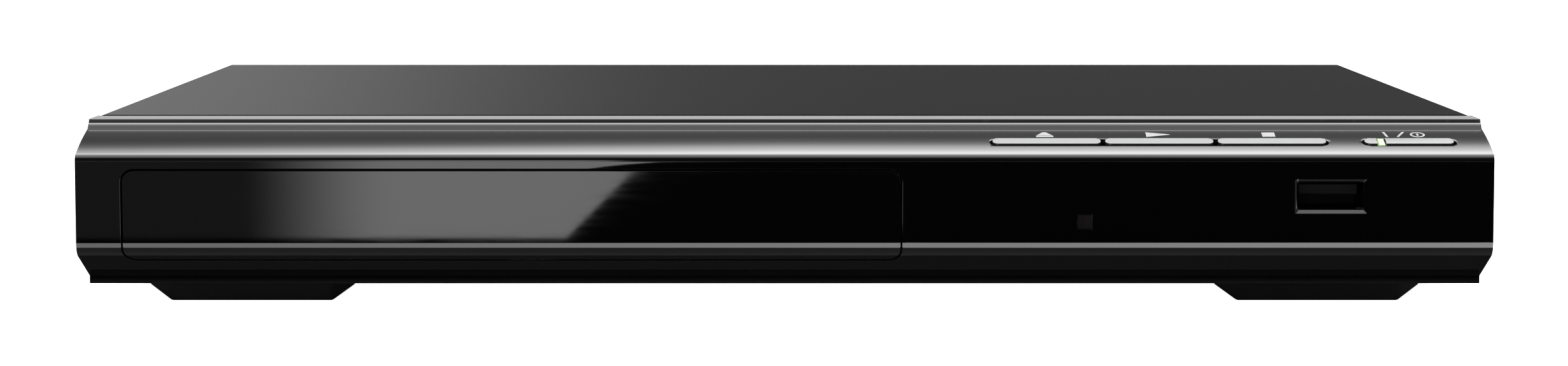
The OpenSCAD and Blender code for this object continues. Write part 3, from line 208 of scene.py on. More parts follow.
def keep_from_view(piece, finish):
    """Leaves a card visible only to reflections."""
    piece.data.materials.append(finish)
    piece.visible_camera = False
    piece.visible_diffuse = False
    piece.visible_transmission = False
    piece.visible_shadow = False


CARDS_HALF, CARDS_MIDDLE, CARDS_Z = (0.8, 0.65), FRONT - 0.35, 0.0004
bm = bmesh.new()
bmesh.ops.create_grid(bm, x_segments=1, y_segments=1, size=1)
spread_out = Matrix.Translation((0, CARDS_MIDDLE, CARDS_Z)) @ Matrix.Diagonal((*CARDS_HALF, 1, 1))
bmesh.ops.transform(bm, matrix=spread_out, verts=bm.verts)
cards = piece_from(bm, "cards")
finish, tree, place, strength = card_finish("cards")
x = place["X"]
ahead = reckon(tree, "SUBTRACT", FRONT, place["Y"])
# The white card starts 0.163 m ahead of the face, and its right edge slants
WHITE_START, SLANT, SLANT_X = 0.163, 0.0422, -0.0506
slanted = reckon(tree, "MULTIPLY_ADD", reckon(tree, "SUBTRACT", ahead, WHITE_START), SLANT, SLANT_X)
left = step_between(tree, reckon(tree, "SUBTRACT", x, slanted), -0.0006, 0.0006, 1.0, 0.0)
# It darkens towards its far left end, in a fixed pattern laid out from the camera's distance
CAMERA_AHEAD = 0.734
spread = reckon(tree, "DIVIDE", reckon(tree, "ADD", ahead, CAMERA_AHEAD), CAMERA_AHEAD)
fading = step_between(tree, reckon(tree, "DIVIDE", x, spread), -0.104, -0.073, 0.045, 1.0)
white = step_between(tree, ahead, 0.158, 0.164, 0.0, 3.5)
left = reckon(tree, "MULTIPLY", reckon(tree, "MULTIPLY", left, fading), white)
# Painted shadow of the player on the table, seen only in the gloss: dim beneath it, brighter just ahead of
# the face
under = step_between(tree, ahead, -0.014, -0.002, 0.025, 0.28)
table = step_between(tree, ahead, 0.03, 0.055, 1.0, 0.04)
tree.links.new(reckon(tree, "ADD", left, reckon(tree, "MULTIPLY", under, table)), strength)
keep_from_view(cards, finish)

STRIP_AHEAD, STRIP_LIGHT, STRIP_RISE = 0.002, 4.6, 10.4
bm = bmesh.new()
corners = [(-0.2, 0.0128), (0.2, 0.0128), (0.2, 0.0157), (-0.2, 0.0153)]
bm.faces.new([bm.verts.new((x, FRONT - STRIP_AHEAD, height)) for x, height in corners])
strip = piece_from(bm, "strip_card")
finish, tree, place, strength = card_finish("strip_card")
tree.links.new(reckon(tree, "MULTIPLY_ADD", place["X"], STRIP_RISE, STRIP_LIGHT), strength)
keep_from_view(strip, finish)


# ---- Chassis ----
# The bottom tray and rear wall are one pressing of zinc-plated steel, with a fine spangle and
# light rolling marks. The screws are plated too.


def noise(tree, place, size, detail=2.0, stretch=None):
    """A noise pattern whose features are about size metres across."""
    node = tree.nodes.new("ShaderNodeTexNoise")
    node.inputs["Scale"].default_value = 1 / size
    node.inputs["Detail"].default_value = detail
    if stretch:
        turned = tree.nodes.new("ShaderNodeMapping")
        turned.inputs["Scale"].default_value = stretch
        tree.links.new(place, turned.inputs["Vector"])
        place = turned.outputs["Vector"]
    tree.links.new(place, node.inputs["Vector"])
    return node.outputs["Fac"]


def between(tree, value, low, high):
    """Spreads a noise pattern, whose values lie mostly between 0.3 and 0.7, from low to high."""
    node = tree.nodes.new("ShaderNodeMapRange")
    tree.links.new(value, node.inputs["Value"])
    node.inputs["From Min"].default_value = 0.3
    node.inputs["From Max"].default_value = 0.7
    node.inputs["To Min"].default_value = low
    node.inputs["To Max"].default_value = high
    return node.outputs["Result"]


def toned(tree, value, dark, light):
    """Mixes two colours by a value from 0 to 1."""
    node = tree.nodes.new("ShaderNodeMix")
    node.data_type = "RGBA"
    tree.links.new(value, node.inputs[0])
    node.inputs[6].default_value = (*dark, 1)
    node.inputs[7].default_value = (*light, 1)
    return node.outputs[2]


def tint(tree, shader, value, dark, light):
    """Lets a noise pattern shift the colour from dark to light."""
    tree.links.new(toned(tree, between(tree, value, 0, 1), dark, light), shader.inputs["Base Color"])


def gloss(tree, shader, value, low, high):
    """Lets a noise pattern shift the roughness from low to high."""
    tree.links.new(between(tree, value, low, high), shader.inputs["Roughness"])


def relief(tree, shader, value, depth, strength=1.0):
    """Raises the surface by a pattern, depth metres high."""
    node = tree.nodes.new("ShaderNodeBump")
    node.inputs["Distance"].default_value = depth
    node.inputs["Strength"].default_value = strength
    tree.links.new(value, node.inputs["Height"])
    tree.links.new(node.outputs["Normal"], shader.inputs["Normal"])


def new_finish(name, metallic=0.0, specular=0.5):
    """A new finish, with its nodes, its shader and the place on the piece, in metres."""
    finish = bpy.data.materials.new(name)
    finish.use_nodes = True
    tree = finish.node_tree
    shader = tree.nodes["Principled BSDF"]
    shader.inputs["Metallic"].default_value = metallic
    shader.inputs["Specular IOR Level"].default_value = specular
    place = tree.nodes.new("ShaderNodeTexCoord").outputs["Object"]
    return finish, tree, shader, place


def plated_steel(name, colour, rough=0.34, spangle=0.004):
    """Rolled or plated metal: soft spangle, fine marks along the sheet, uneven gloss."""
    finish, tree, shader, place = new_finish(name, metallic=1.0)
    patches = noise(tree, place, spangle, 3.0)
    marks = noise(tree, place, 0.0012, 3.0, stretch=(0.06, 1.0, 1.0))
    tint(tree, shader, patches, [c * 0.86 for c in colour], [min(1, c * 1.08) for c in colour])
    gloss(tree, shader, marks, rough - 0.07, rough + 0.07)
    relief(tree, shader, marks, 0.00001)
    return finish


def dress(finish, slot, *names):
    """Gives these CAD solids their finish. The slot is not used."""
    for name in names:
        solid = solids[name]
        solid.data.materials.clear()
        solid.data.materials.append(finish)


dress(plated_steel("zinc_plate", (0.60, 0.61, 0.63)), "zinc_steel", "chassis")
dress(plated_steel("screw_plate", (0.66, 0.66, 0.65), 0.28, 0.001), "screw_zinc", "screws")


# ---- Circuit boards ----
# Green glass-fibre boards with a solder mask over faint copper tracks, and a tan paper board for the
# mains side. Chips and connectors are dull black mouldings, the capacitors have shrunk plastic sleeves.

def circuit_board(name, mask, track):
    """Solder mask over a grid of tracks: a shift in tone along fine square paths."""
    finish, tree, shader, place = new_finish(name, specular=0.4)
    cells = tree.nodes.new("ShaderNodeTexVoronoi")
    cells.distance = "MANHATTAN"
    cells.feature = "F1"
    cells.inputs["Scale"].default_value = 190
    tree.links.new(place, cells.inputs["Vector"])
    lines = tree.nodes.new("ShaderNodeTexWave")
    lines.inputs["Scale"].default_value = 160
    lines.inputs["Distortion"].default_value = 3.0
    lines.inputs["Detail"].default_value = 0.0
    tree.links.new(place, lines.inputs["Vector"])
    crossed = reckon(tree, "MULTIPLY", lines.outputs["Fac"], cells.outputs["Distance"])
    tracks = reckon(tree, "GREATER_THAN", crossed, 0.32)
    tree.links.new(toned(tree, tracks, mask, track), shader.inputs["Base Color"])
    gloss(tree, shader, noise(tree, place, 0.003), 0.28, 0.42)
    relief(tree, shader, tracks, 0.00003, 0.5)
    return finish


def moulded(name, colour, rough=0.45, grain=0.0005, depth=0.000012, specular=0.5):
    """A plain moulding with the fine spark grain of its tool and slightly uneven gloss."""
    finish, tree, shader, place = new_finish(name, specular=specular)
    fine = noise(tree, place, grain, 3.0)
    broad = noise(tree, place, grain * 24, 2.0)
    tint(tree, shader, broad, [c * 0.9 for c in colour], [min(1, c * 1.1) for c in colour])
    gloss(tree, shader, fine, rough - 0.06, rough + 0.06)
    relief(tree, shader, fine, depth)
    return finish


dress(circuit_board("green_board", (0.016, 0.085, 0.035), (0.03, 0.15, 0.06)), "board_green", "main_board",
    "front_board")
dress(circuit_board("tan_board", (0.36, 0.22, 0.09), (0.44, 0.28, 0.12)), "board_tan", "power_board")
dress(moulded("part_black", (0.018, 0.018, 0.02), 0.5), "chip_black", "main_chips", "key_switches",
    "power_parts", "ir_receiver")
dress(moulded("sleeve_blue", (0.03, 0.05, 0.11), 0.25, 0.002), "capacitor_sleeve", "main_capacitors",
    "mains_capacitor")
dress(moulded("cable_film", (0.78, 0.78, 0.74), 0.35, 0.001), "cable_white", "front_cable", "loader_cable")
dress(moulded("winding_tape", (0.72, 0.52, 0.1), 0.3, 0.0015), "transformer_tape", "transformer")


# ---- Heat sink ----
# An aluminium extrusion with drawn lines along it. An upright plate with a row of fins, it stands on the
# mains side's board.

dress(plated_steel("sink_metal", (0.68, 0.69, 0.71), 0.38, 0.003), "sink_aluminium", "heat_sink")


# ---- Loader ----
# A dark glass-filled moulding carries the tray, the gears and the lifting deck. The bridge over the disc is
# bright sheet steel, the deck a duller pressing on black rubber dampers.

dress(moulded("loader_plastic", (0.04, 0.04, 0.045), 0.5, 0.0007, 0.00002), "frame_plastic", "loader_frame")
dress(plated_steel("bridge_plate", (0.63, 0.64, 0.66), 0.3, 0.006), "bridge_steel", "clamp_bridge")
dress(plated_steel("deck_plate", (0.42, 0.43, 0.45), 0.42, 0.003), "deck_steel", "lift_deck")
dress(plated_steel("rod_ground", (0.76, 0.77, 0.78), 0.16, 0.001), "rod_steel", "guide_rods")
dress(plated_steel("motor_tin", (0.60, 0.61, 0.62), 0.3, 0.004), "motor_can", "loading_motor",
    "spindle_motor", "sled_motor")
dress(plated_steel("magnet_nickel", (0.42, 0.42, 0.43), 0.25, 0.002), "magnet", "clamper_magnet")
dress(moulded("damper_rubber", (0.014, 0.014, 0.014), 0.72, 0.0004, 0.00002), "pad_rubber", "deck_dampers",
    "foot_pads")
dress(moulded("belt_rubber", (0.016, 0.016, 0.016), 0.62, 0.0003, 0.00001), "belt_rubber", "belt")
dress(moulded("clamp_plastic", (0.72, 0.72, 0.69), 0.42), "clamper_plastic", "clamper")
dress(moulded("gear_plastic", (0.80, 0.78, 0.70), 0.36, 0.0008), "gear_plastic", "motor_pulley",
    "pulley_gear", "drive_gear", "cam_slider", "sled_gear", "sled_pinion")
dress(moulded("sled_plastic", (0.03, 0.031, 0.034), 0.44), "sled_black", "pickup_sled", "turntable")

lens_glass, tree, shader, place = new_finish("lens_glass")
coating = toned(tree, noise(tree, place, 0.002), (0.10, 0.18, 0.42), (0.22, 0.16, 0.45))
tree.links.new(coating, shader.inputs["Base Color"])
shader.inputs["Roughness"].default_value = 0.04
shader.inputs["Coat Weight"].default_value = 1.0
shader.inputs["Coat Roughness"].default_value = 0.02
dress(lens_glass, "lens", "pickup_lens")


# ---- Disc tray ----
# The tray is one black moulding, satin in the wells, with a fine spark grain. The rack that drives it is
# moulded on.

dress(moulded("tray_plastic", (0.022, 0.022, 0.024), 0.42, 0.0006, 0.000015), "tray_plastic", "disc_tray")


# ---- Sockets ----
# Nickel-plated barrels and shells in black mouldings at the rear, with a coloured ring for each lead. The
# USB socket's shell and tongue, behind the front, are painted darker and duller as painted shade in its
# opening, over a nickel shell and a black tongue.

dress(plated_steel("nickel", (0.72, 0.71, 0.69), 0.2, 0.002), "shell_nickel", "hdmi_shell", "jack_barrels")
# The USB shell is nickel like the others, painted near black as painted shade in its opening
dress(plated_steel("usb_shell_painted_shade", (0.03, 0.03, 0.031), 0.45, 0.002), "shell_nickel", "usb_shell")
dress(moulded("socket_black", (0.016, 0.016, 0.018), 0.4), "socket_black", "jack_block", "hdmi_tongue",
    "cord_gland")
# The USB tongue is a black moulding, painted darker and less glossy as painted shade in its opening
dress(moulded("usb_tongue_painted_shade", (0.012, 0.012, 0.012), 0.55, specular=0.2), "socket_black", "usb_tongue")
dress(moulded("ring_orange", (0.72, 0.20, 0.02), 0.34), "ring_orange", "jack_ring_orange")
dress(moulded("ring_yellow", (0.80, 0.55, 0.03), 0.34), "ring_yellow", "jack_ring_yellow")
dress(moulded("ring_white", (0.82, 0.82, 0.80), 0.34), "ring_white", "jack_ring_white")
dress(moulded("ring_red", (0.55, 0.02, 0.015), 0.34), "ring_red", "jack_ring_red")


# ---- Cover ----
# A folded steel sheet under baked satin paint with a fine even texture. Three screws at the rear hold it
# to the chassis.

cover_paint, tree, shader, place = new_finish("cover_paint", specular=0.09)
pebble = noise(tree, place, 0.00035, 2.0)
broad = noise(tree, place, 0.02, 2.0)
tint(tree, shader, broad, (0.0016, 0.0016, 0.0017), (0.0022, 0.0022, 0.0023))
gloss(tree, shader, pebble, 0.33, 0.39)
relief(tree, shader, pebble, 0.00002, 0.6)
dress(cover_paint, "cover_paint", "top_cover")


# ---- Front ----
# A thin-walled gloss black moulding from a polished tool. Its face rounds into a crowned slope, which ends
# in a low lip under a raised rear strip, and the underside turns back in a bevel. It is drawn as its side
# outline, run across the width, then opened. Sizes from here on are in millimetres and degrees.

mm = 0.001
WIDE, SKIN, BACK_D = 135.0, 2.0, 25.8
SLOPE_D, SLOPE_Z, SLOPE_A, CROWN, EDGE, STRIP_Z = 14.8, 36.7, 10.8, 80.0, 1.6, 38.4
UNDER_Z, UNDER_R, UNDER_A, UNDER_D, LOW_Z = 15.9, 3.1, 22.4, 14.1, 6.5
LIP_A, LIP_END_A, LIP_R, LIP_TOP_Z, LIP_FOOT_D = 55.0, 10.0, 1.6, 37.69, 14.15
STRIP_R, WALL_A = 0.3, 60.0
crown_d = SLOPE_D + CROWN * math.sin(math.radians(SLOPE_A))
crown_z = SLOPE_Z - CROWN * math.cos(math.radians(SLOPE_A))
edge_z = crown_z + math.sqrt((CROWN - EDGE) ** 2 - (crown_d - EDGE) ** 2)
edge_a = math.degrees(math.asin((crown_d - EDGE) / (CROWN - EDGE)))
lip, lip_end = math.radians(LIP_A), math.radians(LIP_END_A)
lip_foot_a = math.asin((crown_d - LIP_FOOT_D) / CROWN)
lip_foot_z = crown_z + CROWN * math.cos(lip_foot_a)
lip_rise = LIP_TOP_Z - lip_foot_z - LIP_R * (math.cos(lip_end) - math.cos(lip))
bead_d = LIP_FOOT_D + lip_rise / math.tan(lip) + LIP_R * math.sin(lip)
bead_z = lip_foot_z + lip_rise - LIP_R * math.cos(lip)
step_d = bead_d - LIP_R * math.sin(lip_end)
wall = math.radians(WALL_A)
wall_rise = STRIP_Z - STRIP_R * (1 - math.cos(wall)) - LIP_TOP_Z
strip_d = step_d + wall_rise / math.tan(wall) + STRIP_R * math.sin(wall)


def slope_at(d):
    """Height of the sloping top at depth d."""
    return crown_z + math.sqrt(CROWN ** 2 - (crown_d - d) ** 2)


def at(x, d, z):
    """The point x across, d behind the face's plane and z above the table."""
    return Vector((x * mm, FRONT + d * mm, z * mm))


def follow(bm, last, centre, start, end, steps):
    """Carries an outline round a centre, from one angle to another, in the side view."""
    turned = bmesh.ops.spin(bm, geom=[last], cent=at(0, *centre), axis=(1, 0, 0),
        angle=math.radians(end - start), steps=steps)["geom_last"]
    return [v for v in turned if isinstance(v, bmesh.types.BMVert)][0]


def go(bm, last, d, z):
    """Carries an outline on to a depth and a height, in a straight line."""
    new = bm.verts.new(at(0, d, z))
    bm.edges.new((last, new))
    return new


def side_outline(bm, t):
    """The front's outline in the side view, moved in by t, as one closed face at x = 0."""
    first = v = bm.verts.new(at(0, BACK_D, STRIP_Z - t))
    if t == 0:
        v = go(bm, v, strip_d, STRIP_Z)
        v = follow(bm, v, (strip_d, STRIP_Z - STRIP_R), 90, 90 + WALL_A, 6)
        v = go(bm, v, step_d, LIP_TOP_Z)
        v = follow(bm, v, (bead_d, bead_z), 90 + LIP_END_A, 90 + LIP_A, 14)
    else:
        v = go(bm, v, step_d + t, STRIP_Z - t)
        v = go(bm, v, step_d + t, LIP_TOP_Z - t)
    crown = CROWN - t
    v = go(bm, v, crown_d - crown * math.sin(lip_foot_a), crown_z + crown * math.cos(lip_foot_a))
    v = follow(bm, v, (crown_d, crown_z), 90 + math.degrees(lip_foot_a), 90 + edge_a, 20)
    if t == 0:
        v = follow(bm, v, (EDGE, edge_z), 90 + edge_a, 180, 12)
    else:
        v = go(bm, v, t, edge_z)
    v = go(bm, v, t, UNDER_Z)
    v = follow(bm, v, (UNDER_R, UNDER_Z), 180, 270 - UNDER_A, 16)
    b = math.radians(UNDER_A)
    under_z = UNDER_Z - UNDER_R * math.cos(b) - (UNDER_D - UNDER_R * (1 - math.sin(b))) * math.tan(b)
    v = go(bm, v, UNDER_D, under_z + t / math.cos(b))
    v = go(bm, v, UNDER_D, LOW_Z + t)
    v = go(bm, v, BACK_D, LOW_Z + t)
    bm.edges.new((v, first))
    bmesh.ops.remove_doubles(bm, verts=bm.verts, dist=1e-7)
    bmesh.ops.contextual_create(bm, geom=list(bm.edges))


def run_across(bm, left, right):
    """Runs the face drawn at x = 0 across from left to right, as a closed solid."""
    bmesh.ops.translate(bm, vec=(left * mm, 0, 0), verts=bm.verts)
    made = bmesh.ops.extrude_face_region(bm, geom=list(bm.faces))["geom"]
    far = [g for g in made if isinstance(g, bmesh.types.BMVert)]
    bmesh.ops.translate(bm, vec=((right - left) * mm, 0, 0), verts=far)
    bmesh.ops.recalc_face_normals(bm, faces=bm.faces)


def block(bm, x, d, z):
    """A plain block between limits, used to open or join a moulding."""
    made = bmesh.ops.create_cube(bm, size=1)["verts"]
    size = Matrix.Diagonal(((x[1] - x[0]) * mm, (d[1] - d[0]) * mm, (z[1] - z[0]) * mm, 1))
    middle = Matrix.Translation(at((x[0] + x[1]) / 2, (d[0] + d[1]) / 2, (z[0] + z[1]) / 2))
    bmesh.ops.transform(bm, matrix=middle @ size, verts=made)
    return made


def round_block(x, d, z, r, along):
    """A block whose four edges along one axis are rounded."""
    bm = bmesh.new()
    block(bm, x, d, z)
    edges = [e for e in bm.edges if abs((e.verts[0].co - e.verts[1].co)[along]) > 1e-6]
    bmesh.ops.bevel(bm, geom=edges, offset=r * mm, offset_type="OFFSET", segments=10, profile=0.5,
        affect="EDGES", clamp_overlap=False, material=-1)
    return piece_from(bm, "tool")


def shaped(piece, how, *tools):
    """Joins tools to a piece, cuts them from it or keeps only what they share, then removes them."""
    for tool in tools:
        change = piece.modifiers.new(how, "BOOLEAN")
        change.operation = how
        change.object = tool
        change.solver = "EXACT"
    bpy.context.view_layer.update()
    made = bpy.data.meshes.new_from_object(piece.evaluated_get(bpy.context.evaluated_depsgraph_get()))
    piece.modifiers.clear()
    piece.data = made
    for tool in tools:
        bpy.data.objects.remove(tool)


def cut_across(piece, places):
    """Splits the long faces across the width, so that the shading beside an opening stays beside it."""
    bm = bmesh.new()
    bm.from_mesh(piece.data)
    for x in places:
        whole = list(bm.verts) + list(bm.edges) + list(bm.faces)
        bmesh.ops.bisect_plane(bm, geom=whole, dist=1e-6, plane_co=(x * mm, 0, 0), plane_no=(1, 0, 0))
    bm.to_mesh(piece.data)
    bm.free()


def finish_off(piece, finish):
    """Smooth shading with flat faces kept truly flat, so that the gloss reflects without waves."""
    piece.data.shade_smooth()
    piece.data.set_sharp_from_angle(angle=math.radians(30))
    even = piece.modifiers.new("even", "WEIGHTED_NORMAL")
    even.keep_sharp = True
    even.weight = 100
    piece.data.materials.clear()
    piece.data.materials.append(finish)


def eased(piece, offset, wanted):
    """Rounds the wanted edges of a moulding by a small radius."""
    bm = bmesh.new()
    bm.from_mesh(piece.data)
    bmesh.ops.remove_doubles(bm, verts=bm.verts, dist=1e-6)
    creases = [e for e in bm.edges if len(e.link_faces) == 2 and e.calc_face_angle(0) > math.radians(40)]
    edges = [e for e in creases if wanted(e)]
    bmesh.ops.bevel(bm, geom=edges, offset=offset * mm, offset_type="OFFSET", segments=2, profile=0.5,
        affect="EDGES", clamp_overlap=False, material=-1)
    bm.to_mesh(piece.data)
    bm.free()


def gloss_black(name):
    """Polished black moulding: deep gloss, a trace of moulding waviness, a few hairline rubs."""
    colour, rough = (0.0008, 0.0008, 0.001), 0.035
    finish, tree, shader, place = new_finish(name)
    rubs = noise(tree, place, 0.0012, 4.0, stretch=(0.12, 1, 1))
    broad = noise(tree, place, 0.03, 1.0)
    gloss(tree, shader, rubs, rough * 0.8, rough * 1.5)
    tint(tree, shader, broad, colour, [c * 1.3 for c in colour])
    relief(tree, shader, broad, 0.00001, 0.3)
    return finish


TRAY_X, DOOR_W, DOOR_LOW, DOOR_TOP, DOOR_GAP, DOOR_R = -52.0, 148.2, 12.3, 29.6, 0.3, 2.2
DOOR_BACK = 14.1
KEY_D, KEY_L, KEY_GAP, KEY_W, POWER_W, KEY_PROUD, KEY_TILT = 5.1, 2.4, 0.45, 20.8, 17.2, 0.2, 20.5
KEYS = {"eject": 50.2, "play": 71.8, "stop": 93.4, "power": 119.7}
SLOT_R, SLOT_Z = 1.5, (30.1, 39)
USB_X, USB_Z, USB_HALF_W, USB_HALF_H, USB_SLANT, USB_RIM_T = 104.0, 24.7, 6.2, 2.55, 0.84, 0.6
BOSS_HALF_W, BOSS_HALF_H = 7.8, 3.95
FLOOR_CUT_D, FLOOR_CUT_Z, REAR_CUT_Z, CUT_END = 18.6, (5.5, 11.3), (8.4, 36.4), 27
IR_X, IR_Z, IR_W = 57.1, 19.8, 2.7
EASED_BACK, EASED_X, EASE = 13, 134.5, 0.12
door_x = (TRAY_X - DOOR_W / 2, TRAY_X + DOOR_W / 2)


def opening_edge(e):
    """An edge where an opening meets the face or the slope, away from the front's two ends."""
    near = all(v.co.y < FRONT + EASED_BACK * mm for v in e.verts) and abs(e.verts[0].co.x) < EASED_X * mm
    outside = any(f.normal.y < -0.3 or f.normal.z > 0.9 for f in e.link_faces)
    beside = any(abs(f.normal.x) > 0.5 or abs(f.normal.z) > 0.5 for f in e.link_faces)
    return near and outside and beside


bm = bmesh.new()
side_outline(bm, 0)
run_across(bm, -WIDE, WIDE)
front = piece_from(bm, "front_moulding")
bm = bmesh.new()
side_outline(bm, SKIN)
run_across(bm, SKIN - WIDE, WIDE - SKIN)
inside = piece_from(bm, "inside")
bm = bmesh.new()
inner = (SKIN - WIDE, WIDE - SKIN)
block(bm, inner, (FLOOR_CUT_D, CUT_END), FLOOR_CUT_Z)
block(bm, inner, (BACK_D - 0.1, CUT_END), REAR_CUT_Z)
rear = piece_from(bm, "rear")
doorway = round_block((door_x[0] - DOOR_GAP, door_x[1] + DOOR_GAP), (-2, DOOR_BACK),
    (DOOR_LOW - DOOR_GAP, DOOR_TOP + DOOR_GAP), DOOR_R + DOOR_GAP, 1)
slot_d = (KEY_D - KEY_GAP, KEY_D + KEY_L + 0.4)
row_x = (KEYS["eject"] - KEY_W / 2 - KEY_GAP, KEYS["stop"] + KEY_W / 2 + KEY_GAP)
single_x = (KEYS["power"] - POWER_W / 2 - KEY_GAP, KEYS["power"] + POWER_W / 2 + KEY_GAP)
row = round_block(row_x, slot_d, SLOT_Z, SLOT_R, 2)
single = round_block(single_x, slot_d, SLOT_Z, SLOT_R, 2)
usb_x, usb_z = (USB_X - USB_HALF_W, USB_X + USB_HALF_W), (USB_Z - USB_HALF_H, USB_Z + USB_HALF_H)
bm = bmesh.new()
block(bm, usb_x, (-1, 4), usb_z)
socket_hole = piece_from(bm, "socket_hole")
bm = bmesh.new()
for v in block(bm, usb_x, (-0.1, USB_RIM_T), usb_z):
    if v.co.y < FRONT:
        v.co.x += math.copysign(USB_SLANT, v.co.x - USB_X * mm) * mm
        v.co.z += math.copysign(USB_SLANT, v.co.z - USB_Z * mm) * mm
socket_mouth = piece_from(bm, "socket_mouth")
bm = bmesh.new()
block(bm, (IR_X - IR_W / 2, IR_X + IR_W / 2), (-1, 3), (IR_Z - IR_W / 2, IR_Z + IR_W / 2))
window_hole = piece_from(bm, "window_hole")
bm = bmesh.new()
block(bm, (USB_X - BOSS_HALF_W, USB_X + BOSS_HALF_W), (1.0, 3.0), (USB_Z - BOSS_HALF_H, USB_Z + BOSS_HALF_H))
surround = piece_from(bm, "surround")
shaped(front, "DIFFERENCE", inside, rear)
shaped(front, "UNION", surround)
shaped(front, "DIFFERENCE", doorway, row, single, socket_hole, socket_mouth, window_hole)
eased(front, EASE, opening_edge)
# Coarse cuts over the whole width, fine ones along the keys, and one just past each end of a slot
slot_ends = [row_x[0] - 0.02, row_x[1] + 0.02, single_x[0] - 0.02, single_x[1] + 0.02]
coarse, fine = [-132.6 + 4 * i for i in range(43)], [37.9 + 1.2 * i for i in range(81)]
cut_across(front, coarse + fine + slot_ends)
finish_off(front, gloss_black("front_gloss"))
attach(front, "case")
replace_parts(front, "front_bezel")


# ---- Tray door ----
# The door closes the opening with an even gap. It is the same gloss moulding as the front, and two clips
# behind it hold it to the tray.

CLIP_OUT, CLIP_HALF, CLIP_D, CLIP_Z, DOOR_EASE = 40, 6, (1.6, 4.4), (18, 20.9), 0.15
door = round_block(door_x, (-1, DOOR_BACK), (DOOR_LOW, DOOR_TOP), DOOR_R, 1)
door.name = door.data.name = "tray_door_moulding"
bm = bmesh.new()
side_outline(bm, 0)
run_across(bm, door_x[0] - 1, door_x[1] + 1)
outer = piece_from(bm, "outer")
bm = bmesh.new()
side_outline(bm, SKIN)
run_across(bm, door_x[0] - 3, door_x[1] + 3)
inside = piece_from(bm, "inside")
shaped(door, "INTERSECT", outer)
shaped(door, "DIFFERENCE", inside)
eased(door, DOOR_EASE, lambda e: any(f.normal.y < -0.3 for f in e.link_faces))
bm = bmesh.new()
for x in (TRAY_X - CLIP_OUT, TRAY_X + CLIP_OUT):
    block(bm, (x - CLIP_HALF, x + CLIP_HALF), CLIP_D, CLIP_Z)
clips = piece_from(bm, "clips")
shaped(door, "UNION", clips)
finish_off(door, gloss_black("door_gloss"))
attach(door, "tray")
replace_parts(door, "tray_door")


# ---- Keys ----
# Each key is a narrow cap with round ends, which stands a little out of its slot and tilts a little more
# than the slope. A stem and an arm under the skin carry it back to its switch. The power key is notched
# round its light.

LIGHT_X, NOTCH_W, SWITCH_D, STEM_LOW = 114.35, 1.7, 8.3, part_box("eject_button")[0].z / mm
CAP_LOW, STEM_TOP, STEM_HALF, POST_LOW, POST_IN, POST_HALF = 30.2, 31.1, 2, 29.2, 2.2, 0.6


def key_cap(name, x, w, body, notch):
    """A key's cap with its stem, its arm and two short posts, and a notch of that width if it isn't 0."""
    cap_d, cap_r = (KEY_D, KEY_D + KEY_L), KEY_L / 2 - 0.1
    key = round_block((x - w / 2, x + w / 2), cap_d, (CAP_LOW, SLOT_Z[1]), cap_r, 2)
    key.name = key.data.name = name
    around = (KEY_D - 1, KEY_D + KEY_L + 1)
    bm = bmesh.new()
    slant = math.tan(math.radians(KEY_TILT))
    for v in block(bm, (x - w, x + w), around, (20, slope_at(KEY_D) + KEY_PROUD)):
        if v.co.z > CAP_LOW * mm:
            v.co.z += slant * (v.co.y - FRONT - KEY_D * mm)
    under_slope = piece_from(bm, "under_slope")
    shaped(key, "INTERSECT", under_slope)
    eased(key, EASE, lambda e: all(f.normal.z > 0.3 or abs(f.normal.z) < 0.1 for f in e.link_faces)
        and any(f.normal.z > 0.3 for f in e.link_faces))
    bm = bmesh.new()
    stem_x = (x - STEM_HALF, x + STEM_HALF)
    block(bm, stem_x, (KEY_D + 0.3, KEY_D + KEY_L - 0.2), (STEM_LOW, STEM_TOP))
    block(bm, stem_x, (KEY_D + 0.3, SWITCH_D + 1.4), (STEM_LOW, STEM_LOW + 1.6))
    for side in (-1, 1):
        middle = x + side * (w / 2 - POST_IN)
        post_x = (middle - POST_HALF, middle + POST_HALF)
        block(bm, post_x, (KEY_D + 0.4, KEY_D + KEY_L - 0.3), (POST_LOW, STEM_TOP))
    stems = piece_from(bm, "stems")
    shaped(key, "UNION", stems)
    if notch:
        bm = bmesh.new()
        block(bm, (LIGHT_X - notch / 2, LIGHT_X + notch / 2), around, (STEM_LOW, SLOT_Z[1] - 1))
        shaped(key, "DIFFERENCE", piece_from(bm, "notch"))
    finish_off(key, key_gloss)
    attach(key, body)
    return key


key_gloss, tree, shader, place = new_finish("key_gloss", specular=0.38)
fine = noise(tree, place, 0.0015, 3.0)
tint(tree, shader, fine, (0.028, 0.028, 0.031), (0.034, 0.034, 0.037))
gloss(tree, shader, fine, 0.06, 0.1)
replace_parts(key_cap("eject_key_cap", KEYS["eject"], KEY_W, "eject_key", 0), "eject_button")
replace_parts(key_cap("play_key_cap", KEYS["play"], KEY_W, "play_key", 0), "play_button")
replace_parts(key_cap("stop_key_cap", KEYS["stop"], KEY_W, "stop_key", 0), "stop_button")
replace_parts(key_cap("power_key_cap", KEYS["power"], POWER_W, "power_key", NOTCH_W), "power_button")


# ---- Key signs ----
# Plain signs printed in white above the keys, as on any player: a wedge on a bar, a long arrow, an oblong
# and, over the power key, two strokes and a ring. Each is a thin film of ink that lies on the slope.

SIGN_PROUD, INK_T = 0.03, 0.06


def inked(bm, outline, hole=None):
    """Lays a flat shape given in x and depth on the slope, a little proud of it."""
    rings = [outline] if hole is None else [outline, hole]
    laid = [[bm.verts.new(at(x, d, slope_at(d) + SIGN_PROUD)) for x, d in ring] for ring in rings]
    if hole is None:
        bm.faces.new(laid[0])
        return
    for i in range(len(outline)):
        j = (i + 1) % len(outline)
        bm.faces.new((laid[0][i], laid[0][j], laid[1][j], laid[1][i]))


def ring(x, d, r, steps=28):
    """A round outline in x and depth."""
    angles = [2 * math.pi * i / steps for i in range(steps)]
    return [(x + r * math.cos(a), d + r * math.sin(a)) for a in angles]


